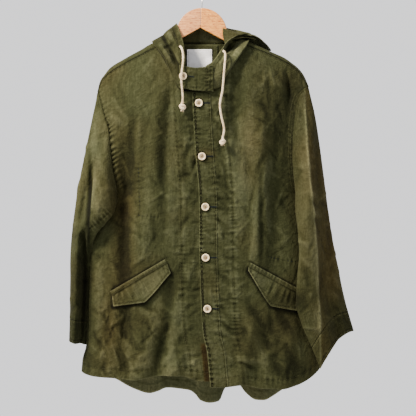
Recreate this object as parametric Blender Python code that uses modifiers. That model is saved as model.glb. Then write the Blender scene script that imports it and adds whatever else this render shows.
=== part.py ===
"""A linen hooded jacket hanging on a wooden hanger, cut and sewn as the real one is.

Metres, +Z up, the front faces -Y, and +X is the viewer's right, the wearer's left.
The origin is the inside of the hook's top, where a rail or nail carries everything.
Sizes below are millimetres, and "drop" is how far something lies below the origin.
"""

import math
from collections import namedtuple

import bpy
import numpy as np
from mathutils import Vector

MM = 0.001
NAME = "linen_hooded_jacket"

# ---------------------------------------------------------------- driving sizes

CLOTH = 1.2             # thickness of one wall of linen, seams and nap included
SEAM_GAP = 0.5          # what each panel's edge keeps from the seam line
SIDE_SPLIT = 0.8        # and what each side of the side seam keeps from its middle
UNDERARM_EASE = 1.8     # between the sleeve and the panels at the underarm
LAY_GAP = 0.6           # between a panel and what lies on it
SHOULDER_RADIUS = 13    # how far the cloth stands off the hanger's plane at the shoulder
TIP_RADIUS = 3          # and at the shoulder's tip, TIP_RUN further out
TIP_RUN = 45
SLEEVE_POINTS = 22      # round each sleeve
SLEEVE_ROWS = 20
ROWS_BELOW_ARMHOLE = 13
WRAP_ROWS = 5           # of the back, from the shoulder seam over the hanger
SHOULDER_COLUMNS = 9
PLACKET_ROWS = 22
HOOD_ROWS = 17
HOOD_COLUMNS = 48       # round the whole neckline
PLACKET_WIDTH = 40
FRONT_OVERLAP = 36      # how far the right front runs on under the left one
UNDERLAP_DEPTH = 2.4    # from the left front's face to the right front's, where it is under
BUTTON_DIAMETER = 17.5
BUTTON_THICKNESS = 3.4
BUTTON_STEPS = 12       # sides round a button
BUTTON_INSET = 14.2     # from the front's edge to a button's centre
BUTTON_DROPS = (276.5, 396, 509.5, 623.5, 738)
WELT_WIDTH = 9
WELT_STANDOFF = 2.8     # of a welt's edges from the front
WELT_ROUND = 1.0        # how much further its middle stands
CORD_DIAMETER = 5.0
CORD_POINTS = 22        # down each cord's free end
HANGER_THICKNESS = 12
HANGER_EDGE = 2         # radius of the hanger's rounded edges
HOOK_WIRE = 3.2
HOOK_RADIUS = 18        # of the hook's wire, along its middle

# Outline of each front seen from the front. The right front is at -X.
Edge = namedtuple("Edge", "drop x")
RIGHT_SIDE = [
    Edge(247, -234), Edge(266.5, -227.5), Edge(303.5, -217.7), Edge(329, -208.5),
    Edge(370, -203.7), Edge(426, -197), Edge(469, -187), Edge(500, -194),
    Edge(560, -222), Edge(628, -246.5), Edge(712, -251), Edge(770, -257.5),
    Edge(822, -260), Edge(856, -268), Edge(886, -271),
]
LEFT_SIDE = [
    Edge(236, 248), Edge(240, 238), Edge(250, 227), Edge(267, 219), Edge(300, 213),
    Edge(337, 209), Edge(393, 207), Edge(438, 210), Edge(475, 216), Edge(544, 228),
    Edge(608, 239), Edge(722, 255), Edge(800, 263), Edge(879, 271),
]
FRONT_EDGE = [
    Edge(251, -17.5), Edge(292, -16), Edge(329, -14), Edge(385, -10.5),
    Edge(422, -7.5), Edge(459, -4), Edge(505, -2.2), Edge(590, -2), Edge(647, -1),
    Edge(703, 1), Edge(759, 3.5), Edge(795, 6.5), Edge(831, 15), Edge(907, 22.5),
]
UNDERARM_DROP = {-1: 469, 1: 475}

# Top edge of the fronts: neckline from the throat to the neck point, then the shoulder
# seam. depth is the seam's y, and crest the drop of the fold over the hanger above it.
Top = namedtuple("Top", "x drop depth crest")
RIGHT_TOP = [
    Top(-234, 247, -3, 245.5), Top(-229, 231, -5, 224.5), Top(-218, 213.5, -8, 208),
    Top(-205, 202.5, -12, 192), Top(-176, 184.3, -12, 173.5), Top(-137, 163.8, -12.5, 152),
    Top(-101, 148.3, -13, 134.5), Top(-87, 167, -25, 134.5), Top(-74, 191, -34, 134.5),
    Top(-59, 217, -41, 134.5), Top(-49, 242, -45, 134.5), Top(-38, 250, -47, 134.5),
    Top(60, 252, -47, 134.5),
]
LEFT_TOP = [
    Top(-40, 251, -47, 132), Top(36, 251, -47, 132), Top(49, 242, -45, 132),
    Top(62, 212, -39, 132), Top(78, 188, -31, 132), Top(96, 158, -21, 132),
    Top(107, 142, -13, 132), Top(127, 148.5, -12, 139.5), Top(165, 164, -12, 156.8),
    Top(193, 178, -12, 169.5), Top(210, 188, -11, 181.5), Top(222, 198, -8, 191),
    Top(236, 217, -5, 208), Top(248, 236, -3, 234.5),
]
NECK_POINT = {-1: -101, 1: 107}
BACK_NECK_DROP = 136
BACK_NECK_DEPTH = 17
BACK_NECK_RUNS = (16, 8, 2.5)   # columns inside the neck point; the first is behind
BACK_MIDDLE = 3
BACK_TURN_DROP = 18     # over which the back settles below its neckline

# Depth of the body at its middle, from the front wall to the back wall.
Depth = namedtuple("Depth", "drop front back")
BODY_DEPTH = [
    Depth(130, -30, 15), Depth(200, -42, 24), Depth(251, -47, 29), Depth(400, -42, 34),
    Depth(600, -43, 38), Depth(760, -46, 42), Depth(960, -50, 48),
]
SIDE_ROUNDNESS = 3.2    # how late the wall turns to meet the side seam
SIDE_FLAT_RUN = 170     # how far below the underarm the wall goes on turning slowly
ARMHOLE_BULGE = {"front": 24, "back": 26}
FALL_LENGTH = 38        # over which the cloth comes away from the shoulder seam

# Hem lines, from side to side.
Hem = namedtuple("Hem", "x drop")
RIGHT_HEM = [
    Hem(-271, 884), Hem(-258, 889), Hem(-235, 893), Hem(-184, 895.5), Hem(-150, 899),
    Hem(-102, 891), Hem(-76, 888), Hem(-38, 889), Hem(-9, 899), Hem(19, 901),
    Hem(62, 899),
]
LEFT_HEM = [
    Hem(20, 914), Hem(47, 915), Hem(92, 909.5), Hem(139, 918), Hem(184, 919),
    Hem(216, 912), Hem(240, 902), Hem(262, 887), Hem(271, 878),
]
BACK_HEM = [
    Hem(-271, 882), Hem(-240, 896), Hem(-200, 906), Hem(-172, 922), Hem(-151, 931),
    Hem(-116, 940), Hem(-98, 936), Hem(-79, 929), Hem(-47, 933), Hem(-24, 936),
    Hem(-10, 945), Hem(0, 957), Hem(22, 962), Hem(43, 959), Hem(58, 930), Hem(90, 922),
    Hem(104, 938), Hem(129, 955), Hem(148, 956), Hem(166, 948), Hem(190, 933),
    Hem(235, 905), Hem(271, 877),
]

# Folds of the walls: a soft ridge (rise over 0, away from the body) or trough, along
# the line from its top to its bottom, and how wide it is from flank to flank.
Fold = namedtuple("Fold", "x_top drop_top x_bottom drop_bottom width rise")
FRONT_FOLDS = [
    Fold(-172, 370, -168, 610, 34, -10), Fold(-170, 760, -164, 885, 32, -7),
    Fold(-196, 300, -188, 440, 26, 5), Fold(-130, 420, -134, 620, 46, 5),
    Fold(-122, 770, -146, 900, 46, 7), Fold(-64, 770, -104, 900, 34, -8),
    Fold(-40, 820, -56, 900, 30, 7), Fold(-66, 250, -72, 420, 24, -6),
    Fold(-92, 240, -100, 520, 40, 6), Fold(206, 200, 203, 330, 26, -12),
    Fold(84, 200, 74, 330, 32, -9), Fold(136, 300, 137, 610, 40, 7),
    Fold(172, 360, 168, 620, 44, -8), Fold(160, 770, 118, 915, 36, -6),
    Fold(118, 770, 84, 915, 30, 6), Fold(214, 780, 190, 900, 30, 6),
]
BACK_FOLDS = [
    Fold(14, 250, 23, 965, 40, -12), Fold(-60, 420, -46, 955, 54, 14),
    Fold(-116, 460, -122, 955, 50, -8), Fold(-178, 420, -180, 920, 46, 9),
    Fold(56, 420, 70, 965, 34, 18), Fold(118, 440, 134, 965, 50, -9),
    Fold(186, 420, 200, 940, 44, 9), Fold(-60, 250, -86, 440, 60, -5),
    Fold(70, 260, 100, 440, 60, -5),
]
FOLD_FADE = 70          # over which a fold begins and ends

# Sleeve rings from the armhole to the cuff. outer and inner are the ring's ends seen
# from the front as (x, drop), with their y. front and back are how far the walls stand
# off the line between them. ridge says where the front wall's crest lies, 0 at the
# outer end and 1 at the inner one, groove is a fold's depth in it at groove_at, and
# bow is how far the ring's middle is drawn up.
Ring = namedtuple(
    "Ring", "outer outer_y inner inner_y front back ridge groove_at groove bow"
)
RIGHT_SLEEVE = [
    Ring((-251, 330), 0, (-191, 497), -8, 34, 26, 0.60, 0.38, 4, 0),
    Ring((-263, 388), 2, (-195, 522), -26, 30, 28, 0.62, 0.34, 14, 0),
    Ring((-275, 447), 4, (-207, 540), -38, 32, 30, 0.62, 0.30, 20, 0),
    Ring((-285, 505), 6, (-230, 566), -34, 38, 32, 0.58, 0.34, 18, 0),
    Ring((-292.5, 562), 8, (-254, 600), -10, 46, 38, 0.45, 0.55, 14, 0),
    Ring((-296.5, 620), 8, (-255.5, 646), 6, 50, 42, 0.36, 0.66, 10, 0),
    Ring((-297, 690), 8, (-256, 702), 10, 50, 40, 0.32, 0.72, 9, 0),
    Ring((-297.5, 764), 6, (-261, 770), 10, 50, 38, 0.30, 0.74, 8, 0),
]
RIGHT_CUFF = [
    Ring((-297.5, 764.2), 6, (-261, 770.2), 10, 50, 38, 0.30, 0.74, 8, 0),
    Ring((-299.3, 814), 6, (-264.5, 823), 10, 48, 36, 0.30, 0.74, 6, 0),
]
LEFT_SLEEVE = [
    Ring((261, 295), -1, (220, 500), -6, 34, 26, 0.45, 0.75, 0, 0),
    Ring((272, 360), 2, (217, 530), -20, 34, 30, 0.50, 0.30, 2, 0),
    Ring((282, 435), 3, (220, 565), -42, 34, 34, 0.54, 0.28, 4, 0),
    Ring((293, 518), 4, (222.5, 615), -44, 34, 36, 0.56, 0.28, 5, 0),
    Ring((305, 598), 4, (218, 668), -48, 30, 36, 0.54, 0.28, 5, 2),
    Ring((319.3, 670), 4, (216, 730), -50, 26, 36, 0.56, 0.30, 6, 6),
    Ring((331, 722), 3, (232, 782), -46, 24, 32, 0.64, 0.38, 8, 14),
    Ring((338.5, 750), 2, (252, 826), -38, 24, 28, 0.74, 0.42, 9, 22),
]
LEFT_CUFF = [
    Ring((338.6, 750.2), 2, (252.1, 826.2), -38, 24, 28, 0.74, 0.42, 9, 22),
    Ring((350.6, 792), 0, (271, 874), -32, 20, 24, 0.76, 0.46, 10, 20),
]

# The hood, thrown back. Each section runs from the neckline over a fold, down into a
# valley, round the bag that hangs behind, to the edge of the face opening. Points are
# (x, y, drop). puff is how far the bag's two layers stand apart.
Section = namedtuple("Section", "seam fold valley bag edge puff")
HOOD = [
    Section((-38, -49, 250), (-42, -53, 236), (-40, -51, 222), (-38, -51, 208), (-34, -47, 194), 0),
    Section((-52, -45, 239), (-59, -53, 221), (-52, -45, 199), (-44, -50, 188), (-33, -43, 178), 0),
    Section((-73, -35, 194), (-77, -47, 176), (-59, -31, 164), (-48, -41, 157), (-35, -36, 160), 0),
    Section((-87, -25, 168), (-92, -38, 152), (-69, -22, 142), (-57, -32, 137), (-37, -27, 142), 0),
    Section((-101, -14, 147), (-106, -24, 137), (-81, -13, 127), (-64, -20, 117), (-42, -18, 123), 0),
    Section((-100, 0, 133), (-108.5, -4, 131), (-88, 1, 119), (-72, 3, 104.5), (-53, -3, 92), 0),
    Section((-94, 9, 133), (-100, 9, 129), (-88, 11, 118), (-70, 25, 106), (-57, 16, 94), 3),
    Section((-84, 16, 135), (-86, 18, 131), (-80, 20, 124), (-88, 44, 160), (-60, 38, 103), 6),
    Section((-45, 18, 135), (-46, 21, 126), (-46, 26, 113), (-90, 50, 320), (-58, 60, 134), 14),
    Section((4, 18, 135), (4, 21, 126), (5, 26, 115), (14, 56, 420), (20, 84, 176), 18),
    Section((48, 18, 135), (50, 21, 121), (54, 25, 102), (104, 54, 320), (92, 76, 170), 14),
    Section((76, 17, 135), (80, 19, 121), (84, 20, 104), (140, 40, 190), (150, 34, 150), 4),
    Section((93, 13, 133), (97, 15, 122), (104, 12, 110), (134, 24, 134), (162, 12, 151), 1),
    Section((104, 4, 130.5), (109, 8, 124), (113, 9, 115), (129, 16, 121), (144, -5, 133), 0),
    Section((107, -4, 131.5), (112, -10, 128.5), (111.5, -3, 122.5), (116, -4, 118), (125, -14, 122), 0),
    Section((107, -14, 142), (107, -27, 140), (100, -15, 132), (97, -15, 126), (101, -26, 122.5), 0),
    Section((95, -22, 160), (90, -40, 164), (79, -12, 143), (76, -18, 133), (81, -31, 126.5), 0),
    Section((78, -31, 188), (77, -47, 182), (65, -22, 155), (61, -28, 143), (64, -36, 135), 0),
    Section((62, -39, 212), (63, -51, 200), (54, -42, 168), (50, -41, 158), (49, -38, 153.5), 0),
    Section((48, -46, 241), (48, -56, 213), (39, -52, 190), (34, -50, 179), (31, -47, 180), 0),
    Section((22, -49, 250), (26, -54, 226), (23, -53, 214), (19, -52, 203), (13, -51, 194), 0),
]
HOOD_MIDDLE = 9         # the section at the centre back

# Pocket flaps, by corners (x, drop) as seen from the front: the seam's inner and outer
# ends, the inner and outer lower corners, and the point between them.
Flap = namedtuple("Flap", "seam_inner seam_outer low_inner point low_outer")
FLAPS = {
    "right": Flap((-74, 635), (-198, 708), (-66, 658), (-124, 723), (-195, 733)),
    "left": Flap((110, 643), (224, 705.5), (109, 652), (159, 732), (219, 743)),
}
FLAP_START = 2.4        # how far a flap stands off the front at its seam
FLAP_STANDOFF = 4.5     # and how much further at its free edge

THROAT_TAB = {"x": (-46, 30), "drop_top": (192.5, 199, 193), "drop_bottom": (242, 249, 251)}
THROAT_TAB_Y = -56.5    # of its ends; TAB_RISE is how far its middle stands in front
TAB_RISE = 2.5
TAB_THICKNESS = 1.6
THROAT_BUTTON = {"x": -37.8, "drop": 217}
NECK_FACING = {"x": (-37, 40), "drop": (138, 210)}
LABEL = {"x": (-30, 27), "drop": (148.5, 196)}
FACING_THICKNESS = 1.0
LABEL_THICKNESS = 0.6

# Free ends of the drawcord, down the middle of the cord, as (x, y, drop).
CORD_ROUTES = {
    "right": [
        (-45, -38.2, 148), (-41, -46, 153.5), (-37.8, -54, 168), (-38, -61, 188),
        (-40.5, -65.6, 208), (-41.3, -65.6, 226), (-40, -62, 244), (-38.4, -57, 262),
        (-39, -55.5, 275),
    ],
    "left": [
        (52.6, -42.1, 158.7), (56.2, -50.5, 164), (56.5, -58, 178), (54.2, -62, 204),
        (50.4, -60, 248), (46, -57.5, 270), (44.9, -57, 286), (48.2, -56.5, 308),
        (52.9, -56, 328), (53.8, -56, 340), (50.5, -56, 356),
    ],
}
KNOT_SIZE = {"right": (20, 15, 22), "left": (17, 15, 17)}
KNOT_GAP = 0.3

# The hanger's outline seen from the front, as (x, drop): a round head and two arms.
HANGER_HEAD = {"x": 4, "drop": 113.5, "radius": 57.3, "half_turn": 80}
HANGER_FORK = (0, 100.8)        # where the arms' lower edges meet
LEFT_ARM = [
    (62, 114), (84, 127), (107, 139.5), (165, 162.5), (193, 175), (203, 184), (208, 193),
    (208, 202), (202, 207.5), (194, 205),
]
RIGHT_ARM = [
    (-192, 209), (-200, 212), (-206, 206), (-204, 197), (-196, 190), (-176, 179.5),
    (-137, 158.5), (-101, 142), (-80, 130), (-56, 114),
]
HOOK_STEM = [(4, 0, 55.9), (4, 0, 47), (6, 0, 37), (13, 0, 27)]


# ---------------------------------------------------------------- reading the tables

def column(table, name):
    """One named column of a table, as an array."""
    return np.array([getattr(row, name) for row in table], float)


def smooth(at, places, values):
    """Values at the given places on a smooth curve that never overshoots its points."""
    places, values = np.asarray(places, float), np.asarray(values, float)
    at = np.clip(np.asarray(at, float), places[0], places[-1])
    run = np.diff(places)
    slope = np.diff(values) / run
    tangent = np.zeros(len(places))
    tangent[0], tangent[-1] = slope[0], slope[-1]
    same_way = slope[1:] * slope[:-1] > 0
    weight_a, weight_b = 2 * run[1:] + run[:-1], run[1:] + 2 * run[:-1]
    mean = (weight_a + weight_b) / (
        weight_a / np.where(same_way, slope[:-1], 1) + weight_b / np.where(same_way, slope[1:], 1)
    )
    tangent[1:-1] = np.where(same_way, mean, 0)
    i = np.clip(np.searchsorted(places, at) - 1, 0, len(run) - 1)
    t = (at - places[i]) / run[i]
    return (
        values[i] * (1 + 2 * t) * (1 - t) ** 2
        + tangent[i] * run[i] * t * (1 - t) ** 2
        + values[i + 1] * t * t * (3 - 2 * t)
        - tangent[i + 1] * run[i] * t * t * (1 - t)
    )


def through(points, count):
    """Points evenly spread in number along a rounded line through the given points."""
    points = np.asarray(points, float)
    ends = np.concatenate([[2 * points[0] - points[1]], points, [2 * points[-1] - points[-2]]])
    at = np.linspace(0, len(points) - 1, count)
    i = np.minimum(at.astype(int), len(points) - 2)
    t = (at - i).reshape(-1, *[1] * (points.ndim - 1))
    a, b, c, d = (ends[i + k] for k in range(4))
    return 0.5 * (
        2 * b + (c - a) * t + (2 * a - 5 * b + 4 * c - d) * t * t
        + (3 * b - a - 3 * c + d) * t ** 3
    )


def ease(value):
    """0 below 0, 1 above 1, and a soft step between."""
    value = np.clip(value, 0, 1)
    return value * value * (3 - 2 * value)


def fold_rise(folds, x, drop):
    """What all the folds add to a wall at one place, away from the body."""
    total = np.zeros(np.broadcast(x, drop).shape)
    for fold in folds:
        length = fold.drop_bottom - fold.drop_top
        along = (drop - fold.drop_top) / length
        middle = fold.x_top + (fold.x_bottom - fold.x_top) * np.clip(along, 0, 1)
        fade = ease(along * length / FOLD_FADE + 0.5) * ease((1 - along) * length / FOLD_FADE + 1)
        widening = fold.width * (0.8 + 0.4 * np.clip(along, 0, 1)) / 2
        total = total + fold.rise * fade * np.exp(-(((x - middle) / widening) ** 2))
    return total


# ---------------------------------------------------------------- the body's walls

def side_x(side, drop):
    """The body's edge: the armhole seam, then the side seam."""
    table = RIGHT_SIDE if side < 0 else LEFT_SIDE
    return smooth(drop, column(table, "drop"), column(table, "x"))


def side_x_end(side):
    """Drop of the side seam's end at the back hem."""
    return (BACK_HEM[0] if side < 0 else BACK_HEM[-1]).drop


def tip_drop(side):
    return (RIGHT_SIDE if side < 0 else LEFT_SIDE)[0].drop


def top_of(side, x, name):
    table = RIGHT_TOP if side < 0 else LEFT_TOP
    return smooth(x, column(table, "x"), column(table, name))


def armhole_y(side, drop, wall):
    """y of the body's edge: round the armhole, then down the side seam."""
    share = np.clip((drop - tip_drop(side)) / (UNDERARM_DROP[side] - tip_drop(side)), 0, 1)
    bulge = ARMHOLE_BULGE[wall] * np.sin(math.pi * share) ** 0.8 + SIDE_SPLIT
    tip = top_of(side, side_x(side, tip_drop(side)), "depth")
    start = tip * (1 - share) ** 2 if wall == "front" else 0
    return start - bulge if wall == "front" else start + bulge


def across(side, x, drop):
    """0 at the garment's middle and 1 at the body's edge."""
    return np.clip(x / side_x(side, drop), 0, 1)


def side_turn(side, x, drop):
    """1 at the middle and 0 at the edge: how a wall comes forward from its edge. It
    turns sharply at the side seam and slowly round the armhole, where the sleeve lies."""
    share = across(side, x, drop)
    below = (drop - UNDERARM_DROP[side]) / SIDE_FLAT_RUN
    flat = ease(1 - np.maximum(below, 0))
    return (1 - share ** SIDE_ROUNDNESS) ** (0.5 + 0.5 * flat)


def front_y(side, x, drop):
    """y of the front wall's outer face."""
    share = across(side, x, drop)
    middle = smooth(drop, column(BODY_DEPTH, "drop"), column(BODY_DEPTH, "front"))
    edge = armhole_y(side, drop, "front")
    full = edge + (middle - edge) * side_turn(side, x, drop)
    hung = np.maximum(drop - top_of(side, x, "drop"), 0)
    near_top = np.exp(-hung / FALL_LENGTH)
    free = ease(hung / 60) * ease((1 - share) * 6)
    return full + (top_of(side, x, "depth") - full) * near_top - free * fold_rise(FRONT_FOLDS, x, drop)


def back_y(side, x, drop):
    """y of the back wall's outer face, below the shoulder."""
    share = across(side, x, drop)
    middle = smooth(drop, column(BODY_DEPTH, "drop"), column(BODY_DEPTH, "back"))
    edge = armhole_y(side, drop, "back")
    full = edge + (middle - edge) * side_turn(side, x, drop)
    hung = np.maximum(drop - top_of(side, x, "drop"), 0)
    near_top = np.exp(-hung / FALL_LENGTH)
    free = ease(hung / 60) * ease((1 - share) * 6)
    return full + (SHOULDER_RADIUS - full) * near_top + free * fold_rise(BACK_FOLDS, x, drop)


def toward_edge(count):
    """Shares from 0 to 1 that come closer together towards 1."""
    return 1 - (1 - np.linspace(0, 1, count)) ** 1.4


def shoulder_xs(side):
    """Where the columns of the front and of the back meet along the shoulder seam."""
    tip = side_x(side, 0)
    return NECK_POINT[side] + (tip - NECK_POINT[side]) * toward_edge(SHOULDER_COLUMNS)


def ring_shares(count):
    """Shares of the armhole's height at the points of half its ring, top to bottom."""
    return (1 - np.cos(np.linspace(0, math.pi, count // 2 + 1))) / 2


def body_rows(side, end):
    """Shares of a panel's height: its rows meet the sleeve's points at the armhole."""
    tip = tip_drop(side)
    armhole = ring_shares(SLEEVE_POINTS) * (UNDERARM_DROP[side] - tip) / (end - tip)
    below = np.linspace(armhole[-1], 1, ROWS_BELOW_ARMHOLE + 1)[1:]
    return np.concatenate([armhole, below])


def front_edge_x(drop):
    """The left front's edge, which lies on top."""
    return smooth(drop, column(FRONT_EDGE, "drop"), column(FRONT_EDGE, "x"))


def front_grid(side, neck_columns=5):
    """Points of one front's outer face, as rows from the top edge to the hem."""
    hem = RIGHT_HEM if side < 0 else LEFT_HEM
    under = FRONT_OVERLAP if side < 0 else 0
    start_x = front_edge_x(FRONT_EDGE[0].drop) + under
    neck_xs = np.linspace(start_x, NECK_POINT[side], neck_columns + 1)[:-1]
    top_xs = np.concatenate([neck_xs, shoulder_xs(side)])
    shares = (top_xs - start_x) / (top_xs[-1] - start_x)
    rows = body_rows(side, hem[0].drop if side < 0 else hem[-1].drop)
    grid = np.zeros((len(rows), len(shares), 3))
    for i, (top_x, share) in enumerate(zip(top_xs, shares)):
        start = top_of(side, top_x, "drop")
        low = front_edge_x(FRONT_EDGE[-1].drop) + under
        hem_x = low + (side_x(side, 1000) - low) * share
        end = smooth(hem_x, column(hem, "x"), column(hem, "drop"))
        drop = start + (end - start) * rows
        lead = front_edge_x(drop) + under
        x = lead + (side_x(side, drop) - lead) * share
        grid[:, i] = np.stack([x, front_y(side, x, drop), drop], axis=1)
    if side < 0:
        # the part under the other front lies one wall deeper
        past = grid[..., 0] - front_edge_x(grid[..., 2])
        grid[..., 1] += UNDERLAP_DEPTH * ease((past + 22) / 20)
    return grid


def back_columns(side, neck_columns=3):
    """Where the back's columns start on one side, from its middle to the shoulder tip.
    They lie closer together where the neckline crosses the shoulder."""
    inner_end = NECK_POINT[side] - side * BACK_NECK_RUNS[0]
    inner = np.linspace(BACK_MIDDLE, inner_end, neck_columns + 1)[:-1]
    run = NECK_POINT[side] - side * np.array(BACK_NECK_RUNS)
    return np.concatenate([inner, run, shoulder_xs(side)])


def back_column(side, top_x, hem_share):
    """One column of the back: from the shoulder seam over the hanger, or from the back
    neckline, down to the hem."""
    inside = max((NECK_POINT[side] - top_x) * side, 0)
    begin = min(inside / BACK_NECK_RUNS[0], 1) ** 0.6
    seam_x = top_x if inside == 0 else NECK_POINT[side]
    seam = float(top_of(side, seam_x, "drop"))
    depth = float(top_of(side, seam_x, "depth"))
    crest = float(top_of(side, seam_x, "crest"))
    from_tip = ease((side_x(side, 0) - seam_x) * side / TIP_RUN)
    behind = TIP_RADIUS + (SHOULDER_RADIUS - TIP_RADIUS) * from_tip
    behind += (BACK_NECK_DEPTH - behind) * begin
    end_drop = seam + (BACK_NECK_DROP - seam) * begin
    wrap = np.zeros((WRAP_ROWS, 3))
    for k in range(WRAP_ROWS):
        turn = begin + (1 - begin) * k / WRAP_ROWS
        lift = (seam - crest) * math.sin(math.pi * turn) ** 0.8 if turn < 1 else 0
        sunk = begin ** 3 * BACK_TURN_DROP * k / WRAP_ROWS
        wrap_drop = seam + (end_drop - seam) * turn - lift + sunk
        wrap[k] = top_x, depth + (behind - depth) * turn, wrap_drop
    start = end_drop + begin ** 3 * BACK_TURN_DROP
    hem_x = BACK_MIDDLE + (side_x(side, 1000) - BACK_MIDDLE) * hem_share
    end = smooth(hem_x, column(BACK_HEM, "x"), column(BACK_HEM, "drop"))
    drop = start + (end - start) * body_rows(side, side_x_end(side))
    x = BACK_MIDDLE + (side_x(side, drop) - BACK_MIDDLE) * hem_share
    settled = ease((drop - start) / 90)
    y = back_y(side, x, drop)
    y = y * settled + (1 - settled) * np.maximum(behind, y)
    return np.concatenate([wrap, np.stack([x, y, drop], axis=1)])


def back_grid():
    """Points of the back's outer face, as rows from its top edge to the hem."""
    halves = {}
    for side in (-1, 1):
        top_xs = back_columns(side)
        shares = (top_xs - BACK_MIDDLE) / (top_xs[-1] - BACK_MIDDLE)
        halves[side] = [back_column(side, x, share) for x, share in zip(top_xs, shares)]
    return np.stack(halves[-1][:0:-1] + halves[1], axis=1)


def on_grid(grid, x, drop):
    """y of a panel's own mesh where the given points lie on it, seen from the front."""
    x, drop = np.broadcast_arrays(x, drop)
    out = np.zeros(x.shape)
    for index, (at_x, at_drop) in enumerate(zip(x.flat, drop.flat)):
        line = np.array([
            [np.interp(at_drop, grid[:, i, 2], grid[:, i, k]) for k in (0, 1)]
            for i in range(grid.shape[1])
        ])
        order = np.argsort(line[:, 0])
        out.flat[index] = np.interp(at_x, line[order, 0], line[order, 1])
    return out


# ---------------------------------------------------------------- the sleeves

def armhole_ring(side, count):
    """The armhole seam as a ring: top, front, underarm, back. Near the underarm it
    keeps clear of the panels' edges."""
    angles = np.linspace(0, 2 * math.pi, count, endpoint=False)
    share = (1 - np.cos(angles)) / 2
    drop = tip_drop(side) + (UNDERARM_DROP[side] - tip_drop(side)) * share
    front = np.sin(angles) > 0
    y = np.where(front, armhole_y(side, drop, "front"), armhole_y(side, drop, "back"))
    clear = side * (SEAM_GAP + UNDERARM_EASE * share ** 3)
    return np.stack([side_x(side, drop) + clear, y, drop], axis=1)


def sleeve_ring(ring, count):
    """One ring of a sleeve: outer end, front wall, inner end, back wall."""
    angles = np.linspace(0, 2 * math.pi, count, endpoint=False)
    share = (1 - np.cos(angles)) / 2
    front = np.sin(angles) > 0
    round_it = np.abs(np.sin(angles)) ** 0.9
    crest = np.exp(-(((share - ring.ridge) / 0.45) ** 2))
    front_stand = -ring.front * (0.45 + 0.55 * crest)
    back_stand = ring.back * (1 - 0.6 * share)
    stand = np.where(front, front_stand, back_stand) * round_it
    groove = ring.groove * np.exp(-(((share - ring.groove_at) / 0.13) ** 2)) * front
    outer, inner = np.array(ring.outer, float), np.array(ring.inner, float)
    line = outer + (inner - outer) * share[:, None]
    y = ring.outer_y + (ring.inner_y - ring.outer_y) * share + stand + groove
    drop = line[:, 1] - ring.bow * 4 * share * (1 - share)
    return np.stack([line[:, 0], y, drop], axis=1)


def sleeve_grid(side, rings):
    """Points of a sleeve's outer face, as closed rings from the armhole down."""
    keys = [armhole_ring(side, SLEEVE_POINTS)]
    keys += [sleeve_ring(ring, SLEEVE_POINTS) for ring in rings]
    return through(np.array(keys), SLEEVE_ROWS)


# ---------------------------------------------------------------- the hood

def hood_grid(columns, rows):
    """Points of the hood's outer face: columns along the neckline, rows from the
    neckline to the edge of the face opening."""
    profiles = []
    for section in HOOD:
        seam, fold, valley, bag, edge = (np.array(p, float) for p in section[:5])
        inner = (valley + bag) / 2 + (0, -section.puff / 3, 0)
        outer = (bag + edge) / 2 + (0, section.puff, 0)
        profiles.append([seam, fold, valley, inner, bag, outer, edge])
    along = through(np.array(profiles), columns)
    return np.stack([through(profile, rows) for profile in along], axis=1)


# ---------------------------------------------------------------- making objects

def clear_scene():
    for obj in list(bpy.data.objects):
        bpy.data.objects.remove(obj, do_unlink=True)


def collection(name):
    made = bpy.data.collections.new(name)
    bpy.context.scene.collection.children.link(made)
    return made


def material(name, colour, roughness, metallic=0.0):
    made = bpy.data.materials.new(name)
    made.use_nodes = True
    shader = made.node_tree.nodes["Principled BSDF"]
    shader.inputs["Base Color"].default_value = (*colour, 1)
    shader.inputs["Roughness"].default_value = roughness
    shader.inputs["Metallic"].default_value = metallic
    return made


def to_world(points):
    """Millimetres with drop, as metres with +Z up."""
    points = np.asarray(points, float)
    return np.stack([points[..., 0], points[..., 1], -points[..., 2]], axis=-1) * MM


def add_object(name, data, finish, home):
    obj = bpy.data.objects.new(name, data)
    data.materials.append(finish)
    home.objects.link(obj)
    return obj


def wall_of(name, grid, finish, home, thickness=CLOTH, closed=False, towards=(0, -1, 0)):
    """A wall of cloth: its outer face is the grid, and its thickness goes inward. An open
    wall's outer face looks the way `towards` says, and a closed one's away from its
    middle."""
    rows, columns = grid.shape[:2]
    points = to_world(grid).reshape(-1, 3)
    last = columns if closed else columns - 1
    faces = [
        (r * columns + c, (r + 1) * columns + c,
         (r + 1) * columns + (c + 1) % columns, r * columns + (c + 1) % columns)
        for r in range(rows - 1) for c in range(last)
    ]
    mesh = bpy.data.meshes.new(name)
    mesh.from_pydata(points.tolist(), [], faces)
    mesh.update()
    middles = [Vector(middle) for middle in points.reshape(rows, columns, 3).mean(axis=1)]
    outward = 0
    for polygon in mesh.polygons:
        way = polygon.center - middles[polygon.vertices[0] // columns] if closed else Vector(towards)
        outward += polygon.area * polygon.normal.dot(way)
    if outward < 0:
        mesh.flip_normals()
    mesh.shade_smooth()
    obj = add_object(name, mesh, finish, home)
    solid = obj.modifiers.new("thickness", "SOLIDIFY")
    solid.thickness = thickness * MM
    solid.offset = -1
    return obj


def pulled_in(grid, gap=SEAM_GAP, columns=True):
    """The grid with its outermost points moved a gap in from the seams."""
    grid = grid.copy()

    def step(edge, inner):
        way = inner - edge
        return edge + way / np.linalg.norm(way, axis=-1, keepdims=True) * gap

    grid[0] = step(grid[0], grid[1])
    grid[-1] = step(grid[-1], grid[-2])
    if columns:
        grid[:, 0] = step(grid[:, 0], grid[:, 1])
        grid[:, -1] = step(grid[:, -1], grid[:, -2])
    return grid


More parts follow.
